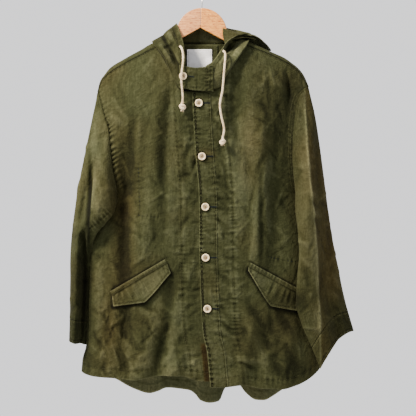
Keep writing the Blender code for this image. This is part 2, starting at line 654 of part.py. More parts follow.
def turned(name, profile, finish, home, place):
    """A round piece: a profile of (radius, height) turned about Y, facing the front."""
    mesh = bpy.data.meshes.new(name)
    points = [(r * MM, 0, h * MM) for r, h in profile]
    mesh.from_pydata(points, [(i, i + 1) for i in range(len(points) - 1)], [])
    obj = add_object(name, mesh, finish, home)
    screw = obj.modifiers.new("turn", "SCREW")
    screw.steps = screw.render_steps = BUTTON_STEPS
    screw.use_merge_vertices = True
    screw.merge_threshold = 0.00005
    obj.location = to_world(place)
    obj.rotation_euler = (math.pi / 2, 0, 0)
    return obj


def tube(name, route, diameter, finish, home):
    data = bpy.data.curves.new(name, "CURVE")
    data.dimensions = "3D"
    spline = data.splines.new("POLY")
    spline.points.add(len(route) - 1)
    for point, place in zip(spline.points, to_world(route)):
        point.co = (*place, 1)
    data.bevel_depth = diameter * MM / 2
    data.bevel_resolution = 2
    data.use_fill_caps = True
    return add_object(name, data, finish, home)


# ---------------------------------------------------------------- the pieces

def make_body(linen, home):
    right = front_grid(-1)
    left = front_grid(1)
    back = back_grid()
    wall_of("front_right", pulled_in(right), linen, home)
    wall_of("front_left", pulled_in(left), linen, home)
    wall_of("back", pulled_in(back, 2 * SEAM_GAP), linen, home, towards=(0, 1, 0))
    return {-1: right, 1: left, "back": back}


def make_placket(panels, linen, home):
    """The buttonhole band along the left front's edge, on top of the front."""
    drop = np.linspace(FRONT_EDGE[0].drop + 3, LEFT_HEM[0].drop - 3, PLACKET_ROWS)
    grid = np.zeros((PLACKET_ROWS, 5, 3))
    for i, run in enumerate(np.linspace(0.8, PLACKET_WIDTH, 5)):
        x = front_edge_x(drop) + run
        y = on_grid(panels[1], x, drop) - CLOTH - LAY_GAP
        grid[:, i] = np.stack([x, y, drop], axis=1)
    wall_of("placket", grid, linen, home)
    return grid


def make_sleeves(linen, home):
    for side, word, rings, cuff in (
        (-1, "right", RIGHT_SLEEVE, RIGHT_CUFF),
        (1, "left", LEFT_SLEEVE, LEFT_CUFF),
    ):
        grid = pulled_in(sleeve_grid(side, rings), columns=False)
        wall_of("sleeve_" + word, grid, linen, home, closed=True)
        band = through(np.array([sleeve_ring(ring, SLEEVE_POINTS) for ring in cuff]), 3)
        wall_of("cuff_" + word, band, linen, home, closed=True)


def make_hood(linen, home):
    grid = hood_grid(HOOD_COLUMNS + 1, HOOD_ROWS)
    half = round(HOOD_MIDDLE * HOOD_COLUMNS / (len(HOOD) - 1))
    for word, part in (("right", grid[:, : half + 1]), ("left", grid[:, half:])):
        wall_of("hood_" + word, pulled_in(part, 1.5 * SEAM_GAP), linen, home)


def make_tab(linen, home):
    """The tab that closes the throat."""
    columns = 8
    x = np.linspace(*THROAT_TAB["x"], columns)
    ends = np.linspace(THROAT_TAB["x"][0], THROAT_TAB["x"][1], 3)
    top = smooth(x, ends, THROAT_TAB["drop_top"])
    bottom = smooth(x, ends, THROAT_TAB["drop_bottom"])
    grid = np.zeros((4, columns, 3))
    for k, share in enumerate(np.linspace(0, 1, 4)):
        drop = top + (bottom - top) * share
        rise = TAB_RISE * np.sin(math.pi * (x - x[0]) / (x[-1] - x[0]))
        y = THROAT_TAB_Y - rise * (1 - 0.3 * share)
        grid[k] = np.stack([x, y, drop], axis=1)
    wall_of("throat_tab", grid, linen, home, thickness=TAB_THICKNESS)
    return grid


def flap_lines(flap, columns):
    """The flap's seam line and its free edge, from the inner end to the outer one."""
    share = np.linspace(0, 1, columns)[:, None]
    seam = np.array(flap.seam_inner) + (np.array(flap.seam_outer) - flap.seam_inner) * share
    corners = np.array([flap.low_inner, flap.point, flap.low_outer], float)
    length = np.linalg.norm(np.diff(corners, axis=0), axis=1)
    turn = length[0] / length.sum()
    at = np.array([0, turn, 1])
    free = np.stack([np.interp(share[:, 0], at, corners[:, k]) for k in range(2)], axis=1)
    return seam, free


def make_pockets(panels, linen, home):
    for side, word in ((-1, "right"), (1, "left")):
        seam, free = flap_lines(FLAPS[word], 9)
        grid = np.zeros((5, 9, 3))
        for k, share in enumerate(np.linspace(0, 1, 5)):
            line = seam + (free - seam) * share
            stand = FLAP_START + FLAP_STANDOFF * share ** 1.3
            y = on_grid(panels[side], line[:, 0], line[:, 1]) - stand
            grid[k] = np.stack([line[:, 0], y, line[:, 1]], axis=1)
        wall_of("pocket_flap_" + word, grid, linen, home)
        along = seam[-1] - seam[0]
        up = np.array([-along[1], along[0]]) / np.linalg.norm(along)
        up *= -np.sign(up[1])
        welt = np.zeros((3, 9, 3))
        for k, rise in enumerate((WELT_WIDTH, WELT_WIDTH / 2, 0.4)):
            line = seam + up * rise
            stand = WELT_STANDOFF + (WELT_ROUND if k == 1 else 0)
            y = on_grid(panels[side], line[:, 0], line[:, 1]) - stand
            welt[k] = np.stack([line[:, 0], y, line[:, 1]], axis=1)
        wall_of("pocket_welt_" + word, welt, linen, home)


def make_inside_neck(panels, linen, cotton, home):
    """The patch inside the back neck and the blank label sewn to it."""
    for name, size, lift, finish, thickness in (
        ("neck_facing", NECK_FACING, 2 * CLOTH + LAY_GAP, linen, FACING_THICKNESS),
        ("label", LABEL, 2 * (CLOTH + LAY_GAP) + FACING_THICKNESS, cotton, LABEL_THICKNESS),
    ):
        x = np.linspace(*size["x"], 6)
        drop = np.linspace(*size["drop"], 6)
        x, drop = np.meshgrid(x, drop)
        y = on_grid(panels["back"], x, drop) - lift
        wall_of(name, np.stack([x, y, drop], axis=-1), finish, home, thickness=thickness)


def button_profile():
    """Half of a button's section: a flat back, a round rim and a dished face."""
    radius, thick = BUTTON_DIAMETER / 2, BUTTON_THICKNESS
    return [
        (0, thick * 0.72), (radius * 0.42, thick * 0.74), (radius * 0.62, thick),
        (radius * 0.86, thick), (radius, thick * 0.62), (radius * 0.97, thick * 0.2),
        (radius * 0.8, 0), (0, 0),
    ]


def button_on(name, grid, x, drop, horn, home):
    """A button in front of a panel, clear of the part of it that lies behind."""
    reach = BUTTON_DIAMETER / 2 * np.array([-1, 0, 1])
    near = on_grid(grid, x + reach[:, None], drop + reach[None, :]).min()
    turned(name, button_profile(), horn, home, (x, near - LAY_GAP, drop))


def make_buttons(placket, tab, horn, home):
    for n, drop in enumerate(BUTTON_DROPS):
        x = front_edge_x(drop) + BUTTON_INSET
        button_on(f"button_{n + 1}", placket, x, drop, horn, home)
    button_on("button_throat", tab, THROAT_BUTTON["x"], THROAT_BUTTON["drop"], horn, home)


def make_cords(cotton, home):
    for word in ("right", "left"):
        route = through(CORD_ROUTES[word], CORD_POINTS)
        tube("drawcord_" + word, route, CORD_DIAMETER, cotton, home)
        wide, deep, tall = KNOT_SIZE[word]
        x, y, drop = route[-1]
        bpy.ops.mesh.primitive_uv_sphere_add(segments=10, ring_count=7, radius=1)
        knot = bpy.context.object
        knot.name = "knot_" + word
        knot.data.name = knot.name
        knot.scale = (wide * MM / 2, deep * MM / 2, tall * MM / 2)
        knot.location = to_world((x, y, drop + tall / 2 + KNOT_GAP))
        knot.data.materials.append(cotton)
        for old in list(knot.users_collection):
            old.objects.unlink(knot)
        home.objects.link(knot)


def hanger_outline():
    """The hanger's outline seen from the front, as (x, drop)."""
    turn = np.radians(np.linspace(-HANGER_HEAD["half_turn"], HANGER_HEAD["half_turn"], 21))
    head_x = HANGER_HEAD["x"] + HANGER_HEAD["radius"] * np.sin(turn)
    head_drop = HANGER_HEAD["drop"] - HANGER_HEAD["radius"] * np.cos(turn)
    return [*zip(head_x, head_drop), *LEFT_ARM, HANGER_FORK, *RIGHT_ARM]


def make_hanger(beech, steel, home):
    outline = hanger_outline()
    mesh = bpy.data.meshes.new("hanger")
    mesh.from_pydata([(x * MM, 0, -drop * MM) for x, drop in outline], [], [range(len(outline))])
    board = add_object("hanger", mesh, beech, home)
    solid = board.modifiers.new("thickness", "SOLIDIFY")
    solid.thickness = HANGER_THICKNESS * MM
    solid.offset = 0
    edge = board.modifiers.new("rounded edges", "BEVEL")
    edge.width = HANGER_EDGE * MM
    edge.segments = 2
    edge.limit_method = "ANGLE"
    edge.angle_limit = math.radians(50)

    centre = HOOK_RADIUS - HOOK_WIRE / 2
    bend = [
        (HOOK_RADIUS * math.cos(a), 0, centre - HOOK_RADIUS * math.sin(a))
        for a in np.radians(np.arange(-15, 206, 13))
    ]
    stem = through([*HOOK_STEM, bend[0]], 9)[:-1]
    tube("hook", [*stem, *bend], HOOK_WIRE, steel, home)


def main():
    clear_scene()
    home = collection(NAME)
    linen = material("olive_linen", (0.105, 0.108, 0.045), 0.88)
    cotton = material("natural_cotton", (0.72, 0.62, 0.47), 0.9)
    paper = material("label_cotton", (0.78, 0.78, 0.79), 0.85)
    horn = material("pale_button", (0.72, 0.64, 0.52), 0.42)
    beech = material("beech", (0.72, 0.48, 0.30), 0.5)
    steel = material("hook_steel", (0.62, 0.62, 0.62), 0.3, 1.0)
    panels = make_body(linen, home)
    placket = make_placket(panels, linen, home)
    make_sleeves(linen, home)
    make_hood(linen, home)
    tab = make_tab(linen, home)
    make_pockets(panels, linen, home)
    make_inside_neck(panels, linen, paper, home)
    make_buttons(placket, tab, horn, home)
    make_cords(cotton, home)
    make_hanger(beech, steel, home)


main()
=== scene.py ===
"""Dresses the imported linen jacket: creased cloth, seams and stitches, buttons, cords and
the wooden hanger. Sizes in the tables are millimetres, and "drop" is how far something
lies below the inside of the hook's top. The front faces -Y.
"""

import math
from collections import namedtuple

import bmesh
import bpy
import numpy as np
from mathutils import Matrix, Vector


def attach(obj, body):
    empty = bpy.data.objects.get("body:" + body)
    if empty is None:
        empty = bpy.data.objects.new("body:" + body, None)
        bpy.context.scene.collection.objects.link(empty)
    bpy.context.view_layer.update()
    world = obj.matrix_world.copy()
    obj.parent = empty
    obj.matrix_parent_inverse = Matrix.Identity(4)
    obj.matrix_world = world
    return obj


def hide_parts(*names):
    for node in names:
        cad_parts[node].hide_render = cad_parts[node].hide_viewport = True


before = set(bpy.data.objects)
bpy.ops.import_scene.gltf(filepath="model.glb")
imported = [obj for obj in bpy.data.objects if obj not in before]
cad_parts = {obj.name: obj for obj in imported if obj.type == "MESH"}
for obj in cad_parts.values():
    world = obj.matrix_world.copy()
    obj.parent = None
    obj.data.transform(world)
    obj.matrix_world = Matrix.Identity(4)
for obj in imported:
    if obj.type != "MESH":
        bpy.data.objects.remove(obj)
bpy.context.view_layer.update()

bpy.ops.object.select_all(action="DESELECT")
MM = 0.001

# ---------------------------------------------------------------- camera

PHOTO_FRAME_AT_FRONT = 936      # millimetres of jacket that the photograph's side spans
EYE = 2800                      # from the hanger's plane
FRONT_PLANE = 40

camera = bpy.data.cameras.new("camera")
camera.sensor_width = 36
camera.lens = 36 * (EYE - FRONT_PLANE) / PHOTO_FRAME_AT_FRONT
eye = bpy.data.objects.new("camera", camera)
eye.location = (18 * MM, -EYE * MM, -512 * MM)
eye.rotation_euler = (math.radians(90), 0, 0)
bpy.context.scene.collection.objects.link(eye)
bpy.context.scene.camera = eye

# ---------------------------------------------------------------- driving sizes

CLOTH = 1.2             # thickness of one wall of linen, seams and nap included
SEAM_TUCK = 1.0         # how far a sleeve's seam runs in under the panels' edges
SIDE_SPLIT = 0.8        # and what each side of the side seam keeps from its middle
LAY_GAP = 0.6           # between a panel and what lies on it
SHOULDER_RADIUS = 13    # how far the cloth stands off the hanger's plane at the shoulder
TIP_RADIUS = 3          # and at the shoulder's tip, TIP_RUN further out
TIP_RUN = 45
SLEEVE_POINTS = 110     # round each sleeve
SLEEVE_ROWS = 178
CUFF_ROWS = 30
CUFF_HEIGHT = 48
FRONT_ROWS = 298
FRONT_COLUMNS = 120
WRAP_ROWS = 12          # of the back, from the shoulder seam over the hanger
BACK_ROWS = 196
BACK_COLUMNS = 70       # on each side
HOOD_ROWS = 104
HOOD_COLUMNS = 234      # round the whole neckline
PLACKET_WIDTH = 40
FRONT_OVERLAP = 36      # how far the right front runs on under the left one
UNDERLAP_DEPTH = 2.4    # from the left front's face to the right front's, where it is under
BUTTON_DIAMETER = 17.5
BUTTON_THICKNESS = 3.4
BUTTON_INSET = 14.2     # from the front's edge to a button's centre
BUTTON_DROPS = (276.5, 396, 509.5, 623.5, 738)
WELT_WIDTH = 9
WELT_STANDOFF = 2.8     # of a welt's edges from the front
WELT_ROUND = 1.0        # how much further its middle stands
HANGER_THICKNESS = 12
HANGER_EDGE = 2         # radius of the hanger's rounded edges
HOOK_WIRE = 3.2
HOOK_RADIUS = 18        # of the hook's wire, along its middle

WORD = {-1: "right", 1: "left"}     # the wearer's sides; the right is at -X


def table(kind, *rows):
    """A table with named columns, one row for each tuple."""
    return [kind(*row) for row in rows]


# Outline of each front seen from the front.
Edge = namedtuple("Edge", "drop x")
SIDE = {
    -1: table(
        Edge,
        (247, -234), (266.5, -227.5), (303.5, -217.7), (329, -208.5), (370, -203.7), (426, -198),
        (469, -191), (500, -198), (535, -222), (560, -243), (600, -254), (628, -257), (712, -259),
        (770, -260), (822, -260), (856, -268), (886, -271),
    ),
    1: table(
        Edge,
        (236, 248), (240, 238), (250, 227), (267, 219), (300, 213), (337, 209), (393, 208), (438, 212),
        (475, 219), (544, 231), (608, 239), (722, 255), (800, 265), (838, 272), (879, 274),
    ),
}
FRONT_EDGE = table(
    Edge,
    (251, -17.5), (292, -16), (329, -14), (385, -10.5), (422, -7.5), (459, -4), (505, -2.2), (590, -2),
    (647, -1), (703, 1), (759, 3.5), (795, 6.5), (831, 15), (907, 22.5),
)
UNDERARM_DROP = {-1: 469, 1: 475}

# Top edge of the fronts: neckline from the throat to the neck point, then the shoulder
# seam. depth is the seam's y, and crest the drop of the fold over the hanger above it.
Top = namedtuple("Top", "x drop depth crest")
TOP = {
    -1: table(
        Top,
        (-234, 247, -3, 245.5), (-229, 231, -5, 224.5), (-218, 213.5, -8, 208), (-205, 202.5, -12, 192),
        (-176, 184.3, -12, 173.5), (-137, 163.8, -12.5, 152), (-101, 148.3, -13, 134.5),
        (-87, 167, -25, 134.5), (-74, 191, -34, 134.5), (-59, 217, -41, 134.5), (-49, 242, -45, 134.5),
        (-38, 250, -47, 134.5), (60, 252, -47, 134.5),
    ),
    1: table(
        Top,
        (-40, 251, -47, 132), (36, 251, -47, 132), (49, 242, -45, 132), (62, 212, -39, 132),
        (78, 188, -31, 132), (96, 158, -21, 132), (107, 142, -13, 132), (127, 148.5, -12, 139.5),
        (165, 164, -12, 156.8), (193, 178, -12, 169.5), (210, 188, -11, 181.5), (222, 198, -8, 191),
        (236, 217, -5, 208), (248, 236, -3, 234.5),
    ),
}
NECK_POINT = {-1: -101, 1: 107}
BACK_NECK_DROP = 136
BACK_NECK_DEPTH = 17
BACK_NECK_RUN = 16      # over which the back crosses from the shoulder to its neckline
BACK_MIDDLE = 3
BACK_TURN_DROP = 18     # over which the back settles below its neckline

# Depth of the body at its middle, from the front wall to the back wall.
Depth = namedtuple("Depth", "drop front back")
BODY_DEPTH = table(
    Depth,
    (130, -30, 15), (200, -42, 24), (251, -47, 29), (400, -42, 34), (600, -43, 38), (760, -46, 42),
    (960, -50, 48),
)
SIDE_ROUNDNESS = 3.2    # how late the wall turns to meet the side seam
SIDE_FLAT_RUN = 170     # how far below the underarm the wall goes on turning slowly
ARMHOLE_BULGE = {"front": 24, "back": 26}
FALL_LENGTH = 38        # over which the cloth comes away from the shoulder seam
FOLDS_BEGIN = 60        # over which the folds begin below it
BACK_SETTLES = 90       # over which the back comes away from its neckline

# Hem lines, from side to side.
Hem = namedtuple("Hem", "x drop")
HEM = {
    -1: table(
        Hem,
        (-271, 884), (-258, 889), (-235, 893), (-184, 895.5), (-150, 899), (-102, 891), (-76, 888),
        (-38, 889), (-9, 899), (19, 901), (62, 899),
    ),
    1: table(
        Hem,
        (20, 914), (47, 915), (92, 909.5), (139, 918), (184, 919), (216, 912), (240, 902), (262, 887),
        (274, 876),
    ),
}
BACK_HEM = table(
    Hem,
    (-271, 882), (-240, 896), (-200, 906), (-172, 922), (-151, 931), (-116, 940), (-98, 936), (-79, 929),
    (-47, 933), (-24, 936), (-10, 945), (0, 957), (22, 962), (43, 959), (58, 930), (90, 922), (104, 938),
    (129, 955), (148, 956), (166, 948), (190, 933), (235, 905), (274, 876),
)

# Folds of the walls: a soft ridge (rise over 0, away from the body) or trough, along
# the line from its top to its bottom, and how wide it is from flank to flank.
Fold = namedtuple("Fold", "x_top drop_top x_bottom drop_bottom width rise")
FRONT_FOLDS = table(
    Fold,
    (-172, 370, -168, 610, 34, -10), (-170, 760, -164, 885, 32, -7), (-196, 300, -188, 440, 26, 5),
    (-130, 420, -134, 620, 46, 5), (-122, 770, -146, 900, 46, 7), (-64, 770, -104, 900, 34, -8),
    (-40, 820, -56, 900, 30, 7), (-66, 250, -72, 420, 24, -6), (-92, 240, -100, 520, 40, 6),
    (196, 190, 206, 322, 15, -17), (84, 200, 74, 330, 32, -9), (136, 300, 137, 610, 40, 7),
    (172, 360, 168, 620, 44, -8), (160, 770, 118, 915, 36, -6), (118, 770, 84, 915, 30, 6),
    (214, 780, 190, 900, 30, 6),
)
BACK_FOLDS = table(
    Fold,
    (14, 250, 23, 965, 40, -12), (-60, 420, -46, 955, 54, 14), (-116, 460, -122, 955, 50, -8),
    (-178, 420, -180, 920, 46, 9), (56, 420, 70, 965, 34, 18), (118, 440, 134, 965, 50, -9),
    (186, 420, 200, 940, 44, 9), (-60, 250, -86, 440, 60, -5), (70, 260, 100, 440, 60, -5),
)
FOLD_FADE = 70          # over which a fold begins and ends

# Sleeve rings from the armhole to the cuff. outer and inner are the ring's ends seen
# from the front as (x, drop), with their y. front and back are how far the walls stand
# off the line between them. ridge says where the front wall's crest lies, 0 at the
# outer end and 1 at the inner one, groove is a fold's depth in it at groove_at, and
# bow is how far the ring's middle is drawn up.
Ring = namedtuple(
    "Ring", "outer outer_y inner inner_y front back ridge groove_at groove bow"
)
SLEEVES = {      # sleeve and cuff
    -1: (
        table(
            Ring,
            ((-251, 330), 0, (-189, 497), -10, 34, 26, 0.60, 0.38, 4, 0),
            ((-263, 388), 2, (-195, 522), -26, 30, 28, 0.62, 0.34, 14, 0),
            ((-275, 447), 4, (-207, 540), -38, 32, 30, 0.62, 0.30, 20, 0),
            ((-285, 505), 6, (-230, 566), -34, 38, 32, 0.58, 0.34, 18, 0),
            ((-292.5, 562), 8, (-245, 600), -8, 46, 38, 0.45, 0.60, 22, 0),
            ((-296.5, 620), 8, (-246, 646), 2, 50, 42, 0.32, 0.66, 24, 0),
            ((-297, 690), 8, (-249, 702), 4, 50, 40, 0.28, 0.66, 25, 0),
            ((-297.5, 764), 6, (-255.5, 770), 6, 50, 38, 0.26, 0.66, 24, 0),
        ),
        table(
            Ring,
            ((-297.5, 764.2), 6, (-255.5, 770.2), 6, 50, 38, 0.26, 0.66, 24, 0),
            ((-299.3, 814), 6, (-258.5, 823), 6, 48, 36, 0.26, 0.66, 22, 0),
        ),
    ),
    1: (
        table(
            Ring,
            ((261, 295), -1, (216, 500), -8, 34, 26, 0.45, 0.75, 0, 0),
            ((272, 360), 2, (217, 530), -20, 34, 30, 0.50, 0.30, 2, 0),
            ((282, 435), 3, (220, 565), -42, 34, 34, 0.54, 0.28, 4, 0),
            ((293, 518), 4, (222.5, 615), -44, 34, 36, 0.56, 0.28, 5, 0),
            ((305, 598), 4, (218, 668), -48, 30, 36, 0.54, 0.28, 5, 2),
            ((319.3, 670), 4, (216, 730), -50, 26, 36, 0.56, 0.30, 6, 6),
            ((331, 722), 3, (232, 782), -46, 24, 32, 0.64, 0.38, 8, 14),
            ((338.5, 750), 2, (252, 826), -38, 24, 28, 0.74, 0.42, 9, 22),
        ),
        table(
            Ring,
            ((338.6, 750.2), 2, (252.1, 826.2), -38, 24, 28, 0.74, 0.42, 9, 22),
            ((350.6, 792), 0, (271, 874), -32, 20, 24, 0.76, 0.46, 10, 20),
        ),
    ),
}

# The hood, thrown back. Each section runs from the neckline over a fold, down into a
# valley, round the bag that hangs behind, to the edge of the face opening. Points are
# (x, y, drop). puff is how far the bag's two layers stand apart.
Section = namedtuple("Section", "seam fold valley bag edge puff")
HOOD = table(
    Section,
    ((-38, -49, 250), (-42, -53, 236), (-40, -51, 222), (-38, -51, 208), (-34, -47, 194), 0),
    ((-52, -45, 239), (-59, -53, 221), (-52, -45, 199), (-44, -50, 188), (-33, -43, 178), 0),
    ((-73, -35, 194), (-77, -47, 176), (-59, -31, 164), (-48, -41, 157), (-35, -36, 160), 0),
    ((-87, -25, 168), (-92, -38, 152), (-69, -22, 142), (-57, -32, 137), (-37, -27, 142), 0),
    ((-101, -14, 147), (-106, -24, 137), (-81, -13, 127), (-64, -20, 117), (-42, -18, 123), 0),
    ((-100, 0, 133), (-108.5, -4, 131), (-88, 1, 119), (-72, 3, 104.5), (-53, -3, 92), 0),
    ((-94, 9, 133), (-100, 9, 129), (-88, 11, 118), (-70, 25, 106), (-57, 16, 94), 3),
    ((-84, 16, 135), (-86, 18, 131), (-80, 20, 124), (-88, 44, 160), (-60, 38, 103), 6),
    ((-45, 18, 135), (-46, 21, 126), (-46, 26, 113), (-90, 50, 320), (-58, 60, 134), 14),
    ((4, 18, 135), (4, 21, 122), (5, 29, 97), (14, 56, 420), (20, 84, 176), 18),
    ((48, 18, 135), (50, 21, 121), (54, 25, 102), (104, 54, 320), (92, 76, 170), 14),
    ((76, 17, 135), (80, 19, 121), (84, 20, 104), (140, 40, 190), (150, 34, 150), 4),
    ((93, 13, 133), (97, 15, 122), (104, 12, 110), (134, 24, 134), (162, 12, 151), 1),
    ((104, 4, 130.5), (109, 8, 124), (113, 9, 115), (129, 16, 121), (144, -5, 133), 0),
    ((107, -4, 131.5), (112, -10, 128.5), (111.5, -3, 122.5), (116, -4, 118), (125, -14, 122), 0),
    ((107, -14, 142), (107, -27, 140), (100, -15, 132), (97, -15, 126), (101, -26, 122.5), 0),
    ((95, -22, 160), (90, -40, 164), (79, -12, 143), (76, -18, 133), (81, -31, 126.5), 0),
    ((78, -31, 188), (77, -47, 182), (65, -22, 155), (61, -28, 143), (64, -36, 135), 0),
    ((62, -39, 212), (63, -51, 200), (54, -42, 168), (50, -41, 158), (49, -38, 153.5), 0),
    ((48, -46, 241), (48, -56, 213), (39, -52, 190), (34, -50, 179), (31, -47, 180), 0),
    ((22, -49, 250), (26, -54, 226), (23, -53, 214), (19, -52, 203), (13, -51, 194), 0),
)
HOOD_MIDDLE = 9         # the section at the centre back

# Pocket flaps, by corners (x, drop) as seen from the front: the seam's inner and outer
# ends, the inner and outer lower corners, and the point between them.
Flap = namedtuple("Flap", "seam_inner seam_outer low_inner point low_outer")
FLAPS = {
    "right": Flap((-74, 635), (-198, 708), (-66, 658), (-124, 723), (-195, 733)),
    "left": Flap((110, 643), (224, 705.5), (109, 652), (159, 732), (219, 743)),
}
FLAP_START = 2.4        # how far a flap stands off the front at its seam
FLAP_STANDOFF = 4.5     # and how much further at its free edge

THROAT_TAB = {"x": (-46, 30), "drop_top": (192.5, 199, 193), "drop_bottom": (242, 249, 251)}
THROAT_TAB_Y = -56.5    # of its ends; TAB_RISE is how far its middle stands in front
TAB_RISE = 2.5
TAB_THICKNESS = 1.6
THROAT_BUTTON = {"x": -37.8, "drop": 217}
NECK_FACING = {"x": (-37, 40), "drop": (138, 210)}
LABEL = {"x": (-30, 27), "drop": (148.5, 196)}
FACING_THICKNESS = 1.0
LABEL_THICKNESS = 0.6

# Free ends of the drawcord, down the middle of the cord, as (x, y, drop).
CORD_ROUTES = {
    "right": [
        (-45, -38.2, 148), (-41, -46, 153.5), (-37.8, -54, 168), (-38, -61, 188),
        (-40.5, -65.6, 208), (-41.3, -65.6, 226), (-40, -62, 244), (-38.4, -57, 262),
        (-39, -55.5, 275),
    ],
    "left": [
        (52.6, -42.1, 158.7), (56.2, -50.5, 164), (56.5, -58, 178), (54.2, -62, 204),
        (50.4, -60, 248), (46, -57.5, 270), (44.9, -57, 286), (48.2, -56.5, 308),
        (52.9, -56, 328), (53.8, -56, 340), (50.5, -56, 356),
    ],
}
KNOT_SIZE = {"right": (20, 15, 22), "left": (17, 15, 17)}
KNOT_GAP = 0.3

# The hanger's outline seen from the front, as (x, drop): a round head and two arms.
HANGER_HEAD = {"x": 4, "drop": 113.5, "radius": 57.3, "half_turn": 80}
HANGER_FORK = (0, 100.8)        # where the arms' lower edges meet
LEFT_ARM = [
    (62, 114), (84, 127), (107, 139.5), (165, 162.5), (193, 175), (203, 184), (208, 193),
    (208, 202), (202, 207.5), (194, 205),
]
RIGHT_ARM = [
    (-192, 209), (-200, 212), (-206, 206), (-204, 197), (-196, 190), (-176, 179.5),
    (-137, 158.5), (-101, 142), (-80, 130), (-56, 114),
]
HOOK_STEM = [(4, 0, 55.9), (4, 0, 47), (6, 0, 37), (13, 0, 27)]


# ---------------------------------------------------------------- reading the tables

def read(rows, at, by, name):
    """One column of a table at the given places of another, on a smooth curve."""
    return smooth(at, *(np.array([getattr(row, word) for row in rows], float) for word in (by, name)))


def smooth(at, places, values):
    """Values at the given places on a smooth curve that never overshoots its points."""
    places, values = np.asarray(places, float), np.asarray(values, float)
    at = np.clip(np.asarray(at, float), places[0], places[-1])
    run = np.diff(places)
    slope = np.diff(values) / run
    tangent = np.zeros(len(places))
    tangent[0], tangent[-1] = slope[0], slope[-1]
    same_way = slope[1:] * slope[:-1] > 0
    weight_a, weight_b = 2 * run[1:] + run[:-1], run[1:] + 2 * run[:-1]
    mean = (weight_a + weight_b) / (
        weight_a / np.where(same_way, slope[:-1], 1) + weight_b / np.where(same_way, slope[1:], 1)
    )
    tangent[1:-1] = np.where(same_way, mean, 0)
    i = np.clip(np.searchsorted(places, at) - 1, 0, len(run) - 1)
    t = (at - places[i]) / run[i]
    return (
        values[i] * (1 + 2 * t) * (1 - t) ** 2
        + tangent[i] * run[i] * t * (1 - t) ** 2
        + values[i + 1] * t * t * (3 - 2 * t)
        - tangent[i + 1] * run[i] * t * t * (1 - t)
    )


def through(points, count):
    """Points evenly spread in number along a rounded line through the given points."""
    points = np.asarray(points, float)
    ends = np.concatenate([[2 * points[0] - points[1]], points, [2 * points[-1] - points[-2]]])
    at = np.linspace(0, len(points) - 1, count)
    i = np.minimum(at.astype(int), len(points) - 2)
    t = (at - i).reshape(-1, *[1] * (points.ndim - 1))
    a, b, c, d = (ends[i + k] for k in range(4))
    return 0.5 * (
        2 * b + (c - a) * t + (2 * a - 5 * b + 4 * c - d) * t * t
        + (3 * b - a - 3 * c + d) * t ** 3
    )


def ease(value):
    """0 below 0, 1 above 1, and a soft step between."""
    value = np.clip(value, 0, 1)
    return value * value * (3 - 2 * value)


def bell(away, reach):
    """1 at a distance of 0, and dying away over the reach."""
    return np.exp(-(away / reach) ** 2)


def lay(*parts):
    """Coordinates side by side, as points."""
    return np.stack(parts, axis=-1)


def fold_rise(folds, x, drop):
    """What all the folds add to a wall at one place, away from the body."""
    total = np.zeros(np.broadcast(x, drop).shape)
    for fold in folds:
        length = fold.drop_bottom - fold.drop_top
        along = (drop - fold.drop_top) / length
        middle = fold.x_top + (fold.x_bottom - fold.x_top) * np.clip(along, 0, 1)
        fade = ease(along * length / FOLD_FADE + 0.5) * ease((1 - along) * length / FOLD_FADE + 1)
        widening = fold.width * (0.8 + 0.4 * np.clip(along, 0, 1)) / 2
        total = total + fold.rise * fade * bell(x - middle, widening)
    return total


# ---------------------------------------------------------------- the body's walls

def side_x(side, drop):
    """The body's edge: the armhole seam, then the side seam."""
    return read(SIDE[side], drop, "drop", "x")


def tip_drop(side):
    return SIDE[side][0].drop


def top_of(side, x, name):
    return read(TOP[side], x, "x", name)


def hem_drop(side, x):
    return read(HEM[side], x, "x", "drop")


def armhole_y(side, drop, wall):
    """y of the body's edge: round the armhole, then down the side seam."""
    share = np.clip((drop - tip_drop(side)) / (UNDERARM_DROP[side] - tip_drop(side)), 0, 1)
    bulge = ARMHOLE_BULGE[wall] * np.sin(math.pi * share) ** 0.8 + SIDE_SPLIT
    tip = top_of(side, side_x(side, tip_drop(side)), "depth")
    start = tip * (1 - share) ** 2 if wall == "front" else 0
    return start - bulge if wall == "front" else start + bulge


def across(side, x, drop):
    """0 at the garment's middle and 1 at the body's edge."""
    return np.clip(x / side_x(side, drop), 0, 1)


def side_turn(side, x, drop):
    """1 at the middle and 0 at the edge: how a wall comes forward from its edge. It
    turns sharply at the side seam and slowly round the armhole, where the sleeve lies."""
    share = across(side, x, drop)
    below = (drop - UNDERARM_DROP[side]) / SIDE_FLAT_RUN
    flat = ease(1 - np.maximum(below, 0))
    return (1 - share ** SIDE_ROUNDNESS) ** (0.5 + 0.5 * flat)


def wall_y(wall, side, x, drop):
    """y of the front or the back wall's outer face, below the shoulder."""
    share = across(side, x, drop)
    middle = read(BODY_DEPTH, drop, "drop", wall)
    edge = armhole_y(side, drop, wall)
    full = edge + (middle - edge) * side_turn(side, x, drop)
    hung = np.maximum(drop - top_of(side, x, "drop"), 0)
    near_top = np.exp(-hung / FALL_LENGTH)
    free = ease(hung / FOLDS_BEGIN) * ease((1 - share) * 6)
    if wall == "back":
        return full + (SHOULDER_RADIUS - full) * near_top + free * fold_rise(BACK_FOLDS, x, drop)
    y = full + (top_of(side, x, "depth") - full) * near_top - free * fold_rise(FRONT_FOLDS, x, drop)
    if side < 0:
        # the part under the other front lies one wall deeper
        y = y + UNDERLAP_DEPTH * ease((x - front_edge_x(drop) + 22) / 20)
    return y


def front_edge_x(drop):
    """The left front's edge, which lies on top."""
    return read(FRONT_EDGE, drop, "drop", "x")


